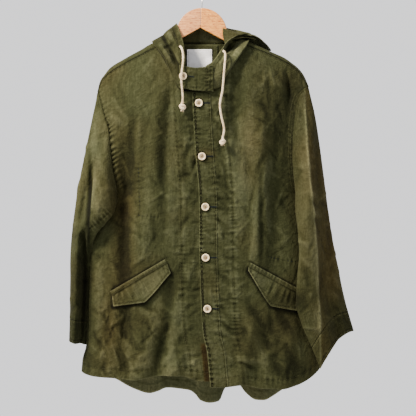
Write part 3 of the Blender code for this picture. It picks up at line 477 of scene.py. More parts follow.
def front_grid(side):
    """Points of one front's outer face, as rows from the top edge to the hem."""
    under = FRONT_OVERLAP if side < 0 else 0
    start_x = front_edge_x(FRONT_EDGE[0].drop) + under
    neck_columns = FRONT_COLUMNS // 3
    neck_xs = np.linspace(start_x, NECK_POINT[side], neck_columns + 1)[:-1]
    shoulder_xs = np.linspace(NECK_POINT[side], side_x(side, 0), FRONT_COLUMNS - neck_columns)
    top_xs = np.concatenate([neck_xs, shoulder_xs])
    shares = (top_xs - start_x) / (top_xs[-1] - start_x)
    rows = np.linspace(0, 1, FRONT_ROWS)
    grid = np.zeros((len(rows), len(shares), 3))
    for i, (top_x, share) in enumerate(zip(top_xs, shares)):
        start = top_of(side, top_x, "drop")
        low = front_edge_x(FRONT_EDGE[-1].drop) + under
        hem_x = low + (side_x(side, 1000) - low) * share
        end = hem_drop(side, hem_x)
        drop = start + (end - start) * rows
        lead = front_edge_x(drop) + under
        x = lead + (side_x(side, drop) - lead) * share
        grid[:, i] = lay(x, wall_y("front", side, x, drop), drop)
    return grid


def back_column(side, top_x, hem_share):
    """One column of the back: from the shoulder seam over the hanger, or from the back
    neckline, down to the hem."""
    inside = max((NECK_POINT[side] - top_x) * side, 0)
    begin = min(inside / BACK_NECK_RUN, 1) ** 0.6
    seam_x = top_x if inside == 0 else NECK_POINT[side]
    seam = float(top_of(side, seam_x, "drop"))
    depth = float(top_of(side, seam_x, "depth"))
    crest = float(top_of(side, seam_x, "crest"))
    from_tip = ease((side_x(side, 0) - seam_x) * side / TIP_RUN)
    behind = TIP_RADIUS + (SHOULDER_RADIUS - TIP_RADIUS) * from_tip
    behind += (BACK_NECK_DEPTH - behind) * begin
    end_drop = seam + (BACK_NECK_DROP - seam) * begin
    wrap = np.zeros((WRAP_ROWS, 3))
    for k in range(WRAP_ROWS):
        turn = begin + (1 - begin) * k / WRAP_ROWS
        lift = (seam - crest) * math.sin(math.pi * turn) ** 0.8 if turn < 1 else 0
        sunk = begin ** 3 * BACK_TURN_DROP * k / WRAP_ROWS
        wrap_drop = seam + (end_drop - seam) * turn - lift + sunk
        wrap[k] = top_x, depth + (behind - depth) * turn, wrap_drop
    start = end_drop + begin ** 3 * BACK_TURN_DROP
    hem_x = BACK_MIDDLE + (side_x(side, 1000) - BACK_MIDDLE) * hem_share
    end = read(BACK_HEM, hem_x, "x", "drop")
    drop = start + (end - start) * np.linspace(0, 1, BACK_ROWS)
    x = BACK_MIDDLE + (side_x(side, drop) - BACK_MIDDLE) * hem_share
    settled = ease((drop - start) / BACK_SETTLES)
    y = wall_y("back", side, x, drop)
    y = y * settled + (1 - settled) * np.maximum(behind, y)
    return np.concatenate([wrap, lay(x, y, drop)])


def back_grid():
    """Points of the back's outer face, as rows from its top edge to the hem."""
    halves = {}
    for side in (-1, 1):
        top_xs = np.linspace(BACK_MIDDLE, side_x(side, 0), BACK_COLUMNS)
        shares = (top_xs - BACK_MIDDLE) / (top_xs[-1] - BACK_MIDDLE)
        halves[side] = [back_column(side, x, share) for x, share in zip(top_xs, shares)]
    return np.stack(halves[-1][:0:-1] + halves[1], axis=1)


# ---------------------------------------------------------------- the sleeves

def armhole_ring(side, count):
    """The armhole seam as a ring: top, front, underarm, back."""
    angles = np.linspace(0, 2 * math.pi, count, endpoint=False)
    share = (1 - np.cos(angles)) / 2
    drop = tip_drop(side) + (UNDERARM_DROP[side] - tip_drop(side)) * share
    front = np.sin(angles) > 0
    y = np.where(front, armhole_y(side, drop, "front"), armhole_y(side, drop, "back"))
    return lay(side_x(side, drop) - side * SEAM_TUCK, y, drop)


def sleeve_ring(ring, count):
    """One ring of a sleeve: outer end, front wall, inner end, back wall."""
    angles = np.linspace(0, 2 * math.pi, count, endpoint=False)
    share = (1 - np.cos(angles)) / 2
    front = np.sin(angles) > 0
    round_it = np.abs(np.sin(angles)) ** 0.9
    crest = bell(share - ring.ridge, 0.45)
    front_stand = -ring.front * (0.45 + 0.55 * crest)
    back_stand = ring.back * (1 - 0.6 * share)
    stand = np.where(front, front_stand, back_stand) * round_it
    groove = ring.groove * bell(share - ring.groove_at, 0.13) * front
    outer, inner = np.array(ring.outer, float), np.array(ring.inner, float)
    line = outer + (inner - outer) * share[:, None]
    y = ring.outer_y + (ring.inner_y - ring.outer_y) * share + stand + groove
    drop = line[:, 1] - ring.bow * 4 * share * (1 - share)
    return lay(line[:, 0], y, drop)


def sleeve_grid(side):
    """Points of a sleeve's outer face, as closed rings from the armhole down."""
    keys = [armhole_ring(side, SLEEVE_POINTS)]
    keys += [sleeve_ring(ring, SLEEVE_POINTS) for ring in SLEEVES[side][0]]
    return through(np.array(keys), SLEEVE_ROWS)


def around_rings(grid):
    """Distance round each ring of a closed grid."""
    girth = np.linalg.norm(np.diff(grid, axis=1, append=grid[:, :1]), axis=2)
    return np.cumsum(girth, axis=1) - girth


def run_down(grid):
    """Distance down each column of a grid."""
    return np.cumsum(np.linalg.norm(np.diff(grid, axis=0, prepend=grid[:1]), axis=2), axis=0)


# ---------------------------------------------------------------- the hood

def hood_grid(columns, rows):
    """Points of the hood's outer face: columns along the neckline, rows from the
    neckline to the edge of the face opening."""
    profiles = []
    for section in HOOD:
        seam, fold, valley, bag, edge = (np.array(p, float) for p in section[:5])
        inner = (valley + bag) / 2 + (0, -section.puff / 3, 0)
        outer = (bag + edge) / 2 + (0, section.puff, 0)
        profiles.append([seam, fold, valley, inner, bag, outer, edge])
    along = through(np.array(profiles), columns)
    return np.stack([through(profile, rows) for profile in along], axis=1)


# ---------------------------------------------------------------- creases and puckers

FRONT_CREASES = table(
    Fold,
    # the left front: folds from the chest, under the flap and at the hem
    (160, 400, 131, 510, 9, 2.4), (148, 376, 126, 442, 7, -1.8), (139, 430, 139, 640, 6, -3.0),
    (127, 510, 124, 640, 9, 1.8), (152, 470, 156, 600, 8, 1.3), (110, 494, 103, 718, 12, -1.2),
    (94, 300, 92, 600, 13, 1.4), (118, 240, 112, 400, 12, 1.3), (180, 250, 176, 420, 12, -1.6),
    (200, 330, 186, 470, 9, -1.8), (106, 721, 144, 784, 8, -2.2), (144, 784, 173, 876, 9, -2.6),
    (97, 741, 130, 820, 9, 2.2), (130, 820, 153, 887, 9, 2.2), (171, 741, 202, 786, 8, -2.0),
    (186, 797, 207, 820, 7, 1.8), (144, 849, 176, 826, 8, 2.2), (81, 856, 126, 874, 5, -2.2),
    (84, 848, 128, 865, 6, 1.4), (191, 831, 222, 871, 9, -2.2), (176, 800, 170, 850, 7, -1.6),
    (158, 752, 163, 800, 6, -1.6), (50, 770, 96, 800, 8, -1.8), (56, 786, 90, 812, 7, 1.4),
    # the right front: the fold from the flap's corner, the hem's darts, the side
    (-58, 660, -76, 755, 12, -2.6), (-76, 755, -103, 890, 12, -2.8), (-45, 718, -63, 820, 13, 2.6),
    (-63, 820, -80, 890, 12, 2.4), (-90, 718, -118, 880, 15, 2.2), (-177, 836, -160, 886, 7, -3.0),
    (-167, 832, -149, 888, 7, 2.2), (-209, 852, -225, 886, 6, -1.6), (-196, 850, -208, 888, 7, 1.8),
    (-171, 470, -169, 790, 12, -3.0), (-152, 500, -146, 650, 11, 1.8), (-229, 633, -225, 786, 9, 2.4),
    (-236, 660, -212, 684, 5, 1.5), (-240, 694, -216, 710, 5, -1.5), (-234, 716, -212, 742, 5, 1.4),
    (-112, 292, -121, 606, 13, 1.5), (-90, 270, -83, 584, 9, -1.4), (-66, 247, -67, 584, 9, 1.4),
    (-150, 300, -161, 470, 10, -2.6), (-136, 290, -142, 420, 9, 1.6), (-197, 382, -170, 472, 9, -2.0),
    (-130, 745, -96, 760, 8, 1.4), (-140, 762, -104, 778, 8, -1.2), (-100, 350, -84, 344, 4, 1.0),
    (-20, 790, -52, 830, 8, -1.6), (-36, 668, -18, 700, 7, -1.6), (-22, 520, -46, 560, 8, -1.8),
    (-26, 380, -40, 430, 8, -1.6), (-70, 812, -58, 850, 6, 1.6), (-30, 845, -8, 868, 6, 1.3),
)
SLEEVE_CREASES = {
    1: table(
        Fold,
        (262, 320, 268, 480, 7, -1.2), (236, 330, 240, 470, 8, 1.0), (240, 470, 262, 486, 5, 1.2),
        (244, 492, 264, 508, 5, -1.2), (250, 560, 262, 690, 9, 1.4), (286, 500, 300, 650, 8, -1.5),
        (276, 640, 268, 720, 7, -1.5), (300, 560, 318, 690, 7, 1.3), (290, 700, 316, 716, 6, 1.5),
        (300, 730, 322, 748, 6, -1.6), (262, 740, 276, 800, 7, 1.6), (232, 640, 250, 700, 8, -1.3),
    ),
    -1: table(
        Fold,
        (-246, 412, -252, 570, 4.5, -4.0), (-241, 412, -244, 540, 5, 1.2), (-236, 300, -246, 400, 8, 1.2),
        (-222, 350, -214, 430, 7, -1.2), (-250, 420, -256, 540, 9, 1.3), (-232, 430, -214, 470, 8, -1.6),
        (-226, 470, -238, 560, 8, 1.2), (-262, 560, -264, 600, 6, -1.0), (-282, 430, -282, 560, 5, 0.8),
        (-291, 580, -292, 740, 6, 1.2), (-240, 540, -252, 590, 5, -1.2),
    ),
}


def strewn(seed, count, across_range, along_range, length, width, rise, lean, spread):
    """Small creases strewn over a piece as garment washing leaves them: each has its own
    place, length and lean. The seed keeps them the same on every run."""
    pick = np.random.RandomState(seed)
    creases = []
    for _ in range(count):
        x, drop = pick.uniform(*across_range), pick.uniform(*along_range)
        turn = math.radians(lean + pick.uniform(-spread, spread))
        half = pick.uniform(*length) / 2
        dx, dd = half * math.sin(turn), half * math.cos(turn)
        lift = pick.uniform(*rise) * (1 if pick.rand() > 0.5 else -1)
        creases.append(Fold(x - dx, drop - dd, x + dx, drop + dd, pick.uniform(*width), lift))
    return creases


def crease_rise(creases, x, drop):
    """What creases add to a surface: soft ridges and troughs with fading ends."""
    total = np.zeros(np.broadcast(x, drop).shape)
    for crease in creases:
        run_x, run_drop = crease.x_bottom - crease.x_top, crease.drop_bottom - crease.drop_top
        along = ((x - crease.x_top) * run_x + (drop - crease.drop_top) * run_drop)
        along = np.clip(along / (run_x ** 2 + run_drop ** 2), 0, 1)
        away = np.hypot(x - crease.x_top - run_x * along, drop - crease.drop_top - run_drop * along)
        taper = 0.3 + 0.7 * np.sin(math.pi * along)
        total += 1.5 * crease.rise * taper * bell(away, crease.width)
    return total


def beside(line, x, drop):
    """Distance along a line of (x, drop) points to its nearest point, and away from it."""
    nearest = np.full(np.broadcast(x, drop).shape, 1e9)
    place = np.zeros(nearest.shape)
    start = 0
    for (ax, ad), (bx, bd) in zip(line[:-1], line[1:]):
        run = math.hypot(bx - ax, bd - ad)
        along = np.clip(((x - ax) * (bx - ax) + (drop - ad) * (bd - ad)) / run ** 2, 0, 1)
        away = np.hypot(x - ax - (bx - ax) * along, drop - ad - (bd - ad) * along)
        place = np.where(away < nearest, start + along * run, place)
        nearest = np.minimum(nearest, away)
        start += run
    return place, nearest


def tucks(place, away, pitch, depth, reach, phase):
    """The small tucks that a shrunken seam draws up across itself, uneven and dying away
    on both sides, with the seam's own groove."""
    away = np.abs(away)
    beat = place / pitch + 0.5 * np.sin(place / 31 + phase) + 0.3 * np.sin(place / 12.7 + 2 * phase)
    strength = 0.65 + 0.35 * np.sin(place / 43 + 1.7 * phase)
    wave = depth * strength * np.cos(2 * math.pi * beat) * np.exp(-((away / reach) ** 1.5))
    return wave - 0.8 * depth * bell(away, 1.8)


# Places where the cloth is painted lighter or darker, and browner: middle, reach, and how much.
# Most are faded or browned dye; the dark ones beside the sleeves, at x -261 to -172 and 200 to 206,
# are painted shade in the gaps and armhole grooves, and the pale ones on the sleeves' inner strips are partly
# painted highlight.
Tone = namedtuple("Tone", "x drop across down light brown")
TONES = table(
    Tone,
    (-180, 300, 50, 60, 0.06, 0.15), (-106, 390, 56, 80, -0.11, 0.0), (165, 300, 56, 60, -0.1, 0.0),
    (125, 780, 50, 44, -0.1, 0.0), (-172, 590, 26, 150, -0.14, 0.35), (-208, 770, 26, 90, -0.02, 0.4),
    (105, 480, 30, 120, 0.08, 0.0), (-250, 860, 16, 30, -0.12, 0.0), (-130, 800, 60, 60, -0.06, 0.0),
    (-22, 862, 30, 26, 0.10, -0.1), (-130, 860, 60, 24, 0.07, 0.1), (-56, 860, 30, 34, 0.07, 0.0),
    (-20, 560, 26, 300, 0.00, -0.1), (60, 400, 40, 300, -0.01, -0.2), (112, 380, 34, 120, 0.06, 0.25),
    (160, 560, 30, 110, -0.05, -0.1), (110, 820, 34, 60, -0.02, 0.1), (205, 790, 34, 60, -0.15, 0.2),
    (205, 718, 36, 24, -0.36, 0.0), (205, 880, 50, 24, -0.26, 0.0), (-232, 430, 30, 130, 0.18, 0.05),
    (-290, 480, 22, 120, 0.00, 0.25), (-292, 720, 22, 120, -0.2, 0.1), (236, 480, 26, 240, 0.04, 0.2),
    (300, 520, 34, 240, 0.03, 0.5), (262, 800, 20, 80, 0.03, 0.3), (320, 770, 26, 30, -0.09, -0.2),
    (14, 394, 24, 14, -0.06, 0.5), (-176, 500, 40, 60, 0.00, 0.15), (-215, 180, 40, 40, 0.03, 0.3),
    (-251, 490, 5, 90, -0.5, 0.0), (-261, 700, 12, 130, -0.42, 0.0), (-46, 480, 5, 240, -0.05, 0.0),
    (206, 250, 7, 60, -0.30, 0.0), (200, 420, 12, 150, -0.12, 0.0), (40, 860, 30, 60, 0.05, -0.1),
    (60, 640, 20, 200, 0.03, -0.15),
)


def tone_of(x, drop):
    """(how much lighter, how brown) the cloth is painted at a place on the front: faded dye, and painted shade and
    highlight.
    """
    light, brown = np.zeros(x.shape), np.zeros(x.shape)
    for tone in TONES:
        near = np.exp(-((x - tone.x) / tone.across) ** 2 - ((drop - tone.drop) / tone.down) ** 2)
        light += tone.light * near
        brown += tone.brown * near
    return light, brown


# ---------------------------------------------------------------- materials

def srgb(colour):
    """A hex colour as linear red, green, blue and alpha."""
    parts = [int(colour[i:i + 2], 16) / 255 for i in (0, 2, 4)]
    return [p / 12.92 if p <= 0.04045 else ((p + 0.055) / 1.055) ** 2.4 for p in parts] + [1.0]


def add_node(tree, kind, inputs=(), output=0, stops=(), **settings):
    """One node's output. An input is a value, or another node's output, and the stops of
    a colour ramp are (place, hex colour)."""
    made = tree.nodes.new("ShaderNode" + kind)
    for name, value in settings.items():
        setattr(made, name, value)
    for name, value in dict(inputs).items():
        if isinstance(value, bpy.types.NodeSocket):
            tree.links.new(value, made.inputs[name])
        else:
            made.inputs[name].default_value = value
    if stops:
        elements = made.color_ramp.elements
        while len(elements) < len(stops):
            elements.new(0.5)
        for element, (place, colour) in zip(elements, stops):
            element.position = place
            element.color = srgb(colour)
    return made.outputs[output]


def new_material(name, **values):
    """A material with its constant values, its nodes, and a place on the object in metres."""
    made = bpy.data.materials.new(name)
    made.use_nodes = True
    tree = made.node_tree
    for socket, value in values.items():
        tree.nodes["Principled BSDF"].inputs[socket.replace("_", " ")].default_value = value
    return made, tree, add_node(tree, "TexCoord", output="Object")


def finished(made, colour, *bumps):
    """The material with its colour, and bumps as (height, strength, depth in metres)."""
    tree = made.node_tree
    shader = tree.nodes["Principled BSDF"]
    tree.links.new(colour, shader.inputs["Base Color"])
    below = {}
    for height, strength, depth in bumps:
        inputs = {"Height": height, "Strength": strength, "Distance": depth, **below}
        below = {"Normal": add_node(tree, "Bump", inputs)}
    if below:
        tree.links.new(below["Normal"], shader.inputs["Normal"])
    return made


LINEN_GREEN = [(0.0, "0a0b04"), (0.25, "151709"), (0.5, "282a17"), (0.75, "3c3e2a"), (1.0, "605f42")]
LINEN_BROWN = [(0.0, "0d0802"), (0.25, "1b1407"), (0.5, "312811"), (0.75, "463c24"), (1.0, "665c44")]
THREAD_SPACING = 0.0009     # of the weave, coarser than the real 0.0006 so that it shows
RIB_SPACING = 0.0006
WAVES_PER_UNIT = 20         # of Blender's wave texture at a scale of 1


def linen_material():
    """Plain-weave linen, dyed as a garment and washed: matt, slubby, faded on its ridges
    and seams, with painted highlight on its ridges and painted shade in its troughs, grooves and gaps, and a short
    nap that lightens it at a glance."""
    made, tree, place = new_material(
        "garment_dyed_linen", Roughness=0.92, Sheen_Weight=0.05, Sheen_Roughness=0.45,
        Specular_IOR_Level=0.06, Sheen_Tint=srgb("a8a47a"),
    )
    cloth = add_node(tree, "UVMap", uv_map="weave")
    # the lightness map holds fading together with painted shade and painted highlight
    total, brown = (add_node(tree, "Attribute", output="Fac", attribute_name=word) for word in ("wear_and_shade", "brown"))
    # slubs, thicker stretches of yarn, about 1.2 mm wide and 40 mm long, both ways, and
    # wider streaks down the warp, about 6 mm by 120 mm
    noises = []
    for scale, share in (((820, 26, 1), 0.34), ((26, 820, 1), 0.3), ((165, 8, 1), 0.12)):
        lain = add_node(tree, "Mapping", {"Vector": cloth, "Scale": scale})
        noises.append((add_node(tree, "TexNoise", {"Vector": lain, "Scale": 1, "Detail": 3}), share))
    # washed patches about 60 mm across, and mottling about 6 mm across
    for scale, detail, rough, share in ((15, 4, 0.6, 0.16), (150, 3, 0.65, 0.36)):
        inputs = {"Vector": place, "Scale": scale, "Detail": detail, "Roughness": rough}
        noises.append((add_node(tree, "TexNoise", inputs), share))
    for noise, share in noises:
        centred = add_node(tree, "Math", {0: noise, 1: share, 2: -share / 2}, operation="MULTIPLY_ADD")
        total = add_node(tree, "Math", {0: total, 1: centred}, operation="ADD")
    hue = add_node(tree, "TexNoise", {"Vector": place, "Scale": 8, "Detail": 3})
    leaning = add_node(tree, "Math", {0: hue, 1: 0.9, 2: -0.38}, operation="MULTIPLY_ADD")
    how_brown = add_node(tree, "Math", {0: leaning, 1: brown}, operation="ADD", use_clamp=True)
    green, tan = (add_node(tree, "ValToRGB", {0: total}, stops=stops) for stops in (LINEN_GREEN, LINEN_BROWN))
    colour = add_node(tree, "Mix", {"Factor": how_brown, "A": green, "B": tan}, "Result", data_type="RGBA")
    waves = {"Vector": cloth, "Scale": 1 / (THREAD_SPACING * WAVES_PER_UNIT), "Distortion": 1.2,
             "Detail": 2, "Detail Scale": 0.2}
    warp, weft = (add_node(tree, "TexWave", waves, "Fac", wave_type="BANDS", bands_direction=way) for way in "XY")
    weave = add_node(tree, "Math", {0: warp, 1: weft}, operation="MULTIPLY")
    nap = add_node(tree, "TexNoise", {"Vector": cloth, "Scale": 700, "Detail": 2})
    # crumpled creases about 25 mm across, as in cloth that dried unpressed
    crumple = add_node(tree, "TexNoise", {"Vector": place, "Scale": 34, "Detail": 2, "Distortion": 1.4})
    return finished(made, colour, (weave, 0.5, 0.00025), (nap, 0.5, 0.0005), (noises[-1][0], 0.8, 0.0022),
                    (crumple, 0.55, 0.006))


def speckled_material(name, scale, detail, stops, **values):
    """A finish whose colour wavers a little: thread, wire and floor paint."""
    made, tree, place = new_material(name, **values)
    noise = add_node(tree, "TexNoise", {"Vector": place, "Scale": scale, "Detail": detail})
    return finished(made, add_node(tree, "ValToRGB", {0: noise}, stops=stops))


def thread_material(name, colour, dark):
    """Spun sewing thread: its twist lightens and darkens every half millimetre."""
    return speckled_material(name, 900, 2, [(0.3, dark), (0.7, colour)], Roughness=0.85, Specular_IOR_Level=0.15)


def cord_material():
    """Unbleached cotton braid: soft, matt, yellowed and a little grubby, with painted shade on each strand where
    it turns in between the strands.
    """
    made, tree, place = new_material("unbleached_cotton_cord", Roughness=0.9, Sheen_Weight=0.35)
    strand = add_node(tree, "Attribute", output="Fac", attribute_name="strand")
    grub = add_node(tree, "TexNoise", {"Vector": place, "Scale": 90, "Detail": 4})
    # dark where a strand faces the cord's middle: painted shade between the strands
    base = add_node(tree, "ValToRGB", {0: strand}, stops=[(0.0, "5c4830"), (0.35, "ab9470"), (1.0, "dac8a6")])
    dimmed = add_node(tree, "ValToRGB", {0: grub}, stops=[(0.25, "c9b695"), (0.6, "ffffff")])
    colour = add_node(tree, "Mix", {"Factor": 1.0, "A": base, "B": dimmed}, "Result",
                      data_type="RGBA", blend_type="MULTIPLY")
    fibre = add_node(tree, "TexNoise", {"Vector": place, "Scale": 1400, "Detail": 3})
    return finished(made, colour, (fibre, 0.4, 0.0003))


def button_material():
    """Cast resin made like corozo: cream, half polished, and browner and darker in the dish."""
    made, tree, place = new_material("cream_resin", Roughness=0.32, Coat_Weight=0.15)
    cloud = add_node(tree, "TexNoise", {"Vector": place, "Scale": 260, "Detail": 5, "Distortion": 0.6})
    dish = add_node(tree, "Attribute", output="Fac", attribute_name="dish")
    rim, dimmed = (add_node(tree, "ValToRGB", {0: cloud}, stops=[(0.3, dark), (0.7, pale)])
                 for dark, pale in (("b39d76", "d9caa6"), ("6e583a", "a48e68")))
    return finished(made, add_node(tree, "Mix", {"Factor": dish, "A": rim, "B": dimmed}, "Result", data_type="RGBA"))


def label_material():
    """White woven cotton tape with fine ribs."""
    made, tree, place = new_material("white_cotton_tape", Roughness=0.85, Sheen_Weight=0.2)
    cloth = add_node(tree, "UVMap", uv_map="weave")
    grime = add_node(tree, "TexNoise", {"Vector": place, "Scale": 60, "Detail": 4})
    waves = {"Vector": cloth, "Scale": 1 / (RIB_SPACING * WAVES_PER_UNIT), "Distortion": 0.5}
    ribs = add_node(tree, "TexWave", waves, "Fac", wave_type="BANDS", bands_direction="Y")
    colour = add_node(tree, "ValToRGB", {0: grime}, stops=[(0.25, "c6c4c2"), (0.65, "e3e2e3")])
    return finished(made, colour, (ribs, 0.4, 0.0002))


def beech_material(name, colours):
    """Steamed beech, sanded and lacquered: fine straight grain 1 mm apart, with flecks."""
    made, tree, place = new_material(name, Roughness=0.38, Coat_Weight=0.25, Coat_Roughness=0.25)
    lying = add_node(tree, "Mapping", {"Vector": place, "Scale": (26, 200, 520)})
    grain = add_node(tree, "TexNoise", {"Vector": lying, "Scale": 1, "Detail": 5, "Roughness": 0.6})
    # the medullary flecks that mark beech, 1 mm by 6 mm and browner than the grain
    lain = add_node(tree, "Mapping", {"Vector": place, "Scale": (170, 400, 900)})
    flecks = add_node(tree, "TexNoise", {"Vector": lain, "Scale": 1, "Detail": 2})
    base = add_node(tree, "ValToRGB", {0: grain}, stops=colours)
    marks = add_node(tree, "ValToRGB", {0: flecks}, stops=[(0.52, "ffffff"), (0.68, "b98a68")])
    colour = add_node(tree, "Mix", {"Factor": 1.0, "A": base, "B": marks}, "Result",
                      data_type="RGBA", blend_type="MULTIPLY")
    return finished(made, colour, (grain, 0.15, 0.0003))


LINEN = linen_material()
SEAM_THREAD = thread_material("olive_polyester_thread", "595839", "2f2f19")
HOLE_THREAD = thread_material("dark_blue_thread", "141c20", "030506")
BUTTON_THREAD = thread_material("brown_thread", "4a4034", "1c1812")
CORD_COTTON = cord_material()
RESIN = button_material()
TAPE = label_material()
BEECH = {
    "right": beech_material("lacquered_beech_pink", [(0.22, "80502c"), (0.45, "ba7d48"), (0.75, "d89c63")]),
    "left": beech_material("lacquered_beech_orange", [(0.22, "875121"), (0.45, "c07c31"), (0.75, "dd9d4c")]),
}
# nickel-plated drawn wire: smooth, with faint draw marks
STEEL = speckled_material("nickel_plated_wire", 700, 2, [(0.3, "a9a8a6"), (0.7, "cfcdca")],
                          Metallic=1.0, Roughness=0.28)


# ---------------------------------------------------------------- making pieces

def to_world(points):
    """Table millimetres (x, y, drop) to metres, with z up."""
    points = np.asarray(points, float)
    return np.stack([points[..., 0], points[..., 1], -points[..., 2]], axis=-1) * MM


def add_piece(name, mesh, finish, slot, *nodes):
    """Puts a finished mesh in the scene; it rides the jacket and stands for the nodes."""
    piece = bpy.data.objects.new(name, mesh)
    bpy.context.scene.collection.objects.link(piece)
    mesh.materials.clear()
    mesh.materials.append(finish)
    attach(piece, "root")
    if nodes:
        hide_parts(*nodes)
    return piece


def run_along(points):
    """Distance along a line of points."""
    return np.concatenate([[0], np.cumsum(np.linalg.norm(np.diff(points, axis=0), axis=1))])


def sample(values, place, at):
    """Rows of values given at places along a line, at other places."""
    return np.stack([np.interp(at, place, values[:, k]) for k in range(values.shape[1])], axis=1)


def unit(vectors):
    return vectors / np.maximum(np.linalg.norm(vectors, axis=-1, keepdims=True), 1e-12)


def outward(points, closed, facing):
    """Unit normals of a grid of points, and whether its quads have to be turned round."""
    if closed:
        wide = np.roll(points, -1, axis=1) - np.roll(points, 1, axis=1)
        way = points - points.mean(axis=1, keepdims=True)
    else:
        wide = np.gradient(points, axis=1)
        way = np.broadcast_to(np.array(facing, float), points.shape)
    normal = unit(np.cross(np.gradient(points, axis=0), wide))
    turned = (normal * way).sum() < 0
    return (-normal if turned else normal), turned


def wall(name, grid, node, closed=False, facing=(0, -1, 0), rise=None, light=None, brown=None,
         finish=LINEN, slot="linen", thickness=CLOTH):
    """A wall of cloth: its outer face is the grid raised by its creases, its thickness
    goes inward, and its edges are rounded. The map "weave" holds its size in metres,
    the lightness map how faded it is together with its painted shade and highlight, and "brown" how far from
    green."""
    points = to_world(grid)
    rows, columns = points.shape[:2]
    normal, turned = outward(points, closed, facing)
    if rise is not None:
        points = points + normal * (rise * MM)[..., None]
        normal = outward(points, closed, facing)[0]
    inner = points - normal * thickness * MM

    last = columns if closed else columns - 1
    row, col = (a.reshape(-1, 1) for a in np.mgrid[0:rows - 1, 0:last])
    quad_row, quad_col = row + [0, 1, 1, 0], col + [0, 0, 1, 1]
    if closed:
        loops = [[(0, c) for c in range(columns + 1)],
                 [(rows - 1, c) for c in range(columns, -1, -1)]]
    else:
        loops = [
            [(0, c) for c in range(columns)] + [(r, columns - 1) for r in range(1, rows)]
            + [(rows - 1, c) for c in range(columns - 2, -1, -1)]
            + [(r, 0) for r in range(rows - 2, -1, -1)]
        ]
    vertices = [points.reshape(-1, 3), inner.reshape(-1, 3)]
    one_face = rows * columns
    corners = [(quad_row, quad_col, quad_row * columns + quad_col % columns)]
    corners.append((quad_row[:, ::-1], quad_col[:, ::-1], corners[0][2][:, ::-1] + one_face))
    used = 2 * one_face
    home_of = [np.arange(one_face)] * 2
    for loop in loops:
        loop = np.array(loop)
        r, c = loop[:-1, 0], loop[:-1, 1] % columns
        away = points[r, c] - points[np.clip(r, 1, rows - 2), c if closed else np.clip(c, 1, columns - 2)]
        middle = (points[r, c] + inner[r, c]) / 2 + unit(away) * thickness * MM * 0.4
        vertices.append(middle)
        home_of.append(r * columns + c)
        count = len(middle)
        here, after = np.arange(count), (np.arange(count) + 1) % count
        at, then = loop[:-1], loop[1:]
        on_outer = at[:, 0] * columns + at[:, 1] % columns
        next_outer = then[:, 0] * columns + then[:, 1] % columns
        rim_row = lay(at[:, 0], then[:, 0], then[:, 0], at[:, 0])
        rim_col = lay(at[:, 1], then[:, 1], then[:, 1], at[:, 1])
        front = lay(on_outer, next_outer, used + after, used + here)
        behind = lay(used + here, used + after, next_outer + one_face, on_outer + one_face)
        corners += [(rim_row, rim_col, front), (rim_row, rim_col, behind)]
        used += count
    faces = np.concatenate([c[2] for c in corners])
    face_row = np.concatenate([c[0] for c in corners])
    face_col = np.concatenate([c[1] for c in corners])
    if turned:
        faces, face_row, face_col = faces[:, ::-1], face_row[:, ::-1], face_col[:, ::-1]

    mesh = bpy.data.meshes.new(name)
    mesh.from_pydata(np.concatenate(vertices).tolist(), [], faces.tolist())
    round_again = np.concatenate([points, points[:, :1]], axis=1) if closed else points
    over = np.linalg.norm(np.diff(round_again, axis=1), axis=2)
    over = np.concatenate([np.zeros((rows, 1)), np.cumsum(over, axis=1)], axis=1)
    down = np.linalg.norm(np.diff(points, axis=0), axis=2)
    down = np.concatenate([np.zeros((1, columns)), np.cumsum(down, axis=0)])
    if closed:
        down = np.concatenate([down, down[:, :1]], axis=1)
    weave = mesh.uv_layers.new(name="weave")
    both = lay(over[face_row, face_col], down[face_row, face_col])
    weave.data.foreach_set("uv", both.reshape(-1).astype(np.float32))
    homes = np.concatenate(home_of)
    for word, values, plain in (("wear_and_shade", light, 0.5), ("brown", brown, 0.0)):
        values = np.full((rows, columns), plain) if values is None else values
        layer = mesh.attributes.new(word, "FLOAT", "POINT")
        layer.data.foreach_set("value", values.reshape(-1)[homes].astype(np.float32))
    mesh.shade_smooth()
    add_piece(name, mesh, finish, slot, *([node] if node else []))
    return points, normal


# ---------------------------------------------------------------- stitches

STITCH_PITCH = 3.4
THREAD_RADIUS = 0.3
INNER = slice(2, -2)     # the points of a row of stitches along an edge


def along(points, normals, pitch):
    """Points and normals every pitch (millimetres) along a line given in metres."""
    place = run_along(points)
    at = np.arange(0, place[-1], pitch * MM)
    return sample(points, place, at), unit(sample(normals, place, at))


def threads(points, normals, pitch=STITCH_PITCH, share=0.68, radius=THREAD_RADIUS):
    """Vertices and faces of a row of stitches: short spindles of thread, pulled in at
    their ends."""
    at, up = along(np.asarray(points), np.asarray(normals), pitch)
    if len(at) < 2:
        return np.zeros((0, 3)), np.zeros((0, 4), int)
    start, run, up = at[:-1], np.diff(at, axis=0) * share, up[:-1]
    side = unit(np.cross(run, up))
    rings = []
    for place, lift in ((0.0, -0.1), (0.25, 0.16), (0.75, 0.16), (1.0, -0.1)):
        middle = start + run * place + up * lift * MM
        thick = (0.1 if lift < 0 else 1) * radius * MM
        rings.append(np.stack([middle + (up * a + side * b) * thick
                               for a, b in ((1, 0), (0, 1), (-1, 0), (0, -1))], axis=1))
    points = np.stack(rings, axis=1).reshape(-1, 3)
    quads = []
    for ring in range(3):
        for k in range(4):
            a, b = ring * 4 + k, ring * 4 + (k + 1) % 4
            quads.append((a, a + 4, b + 4, b))
    quads += [(0, 1, 2, 3), (15, 14, 13, 12)]
    faces = np.array(quads)[None] + 16 * np.arange(len(start))[:, None, None]
    return points, faces.reshape(-1, 4)


def line_on(sheet, row, column):
    """Points and normals along a row or a column of a wall."""
    points, normals = sheet
    return points[row, column], normals[row, column]


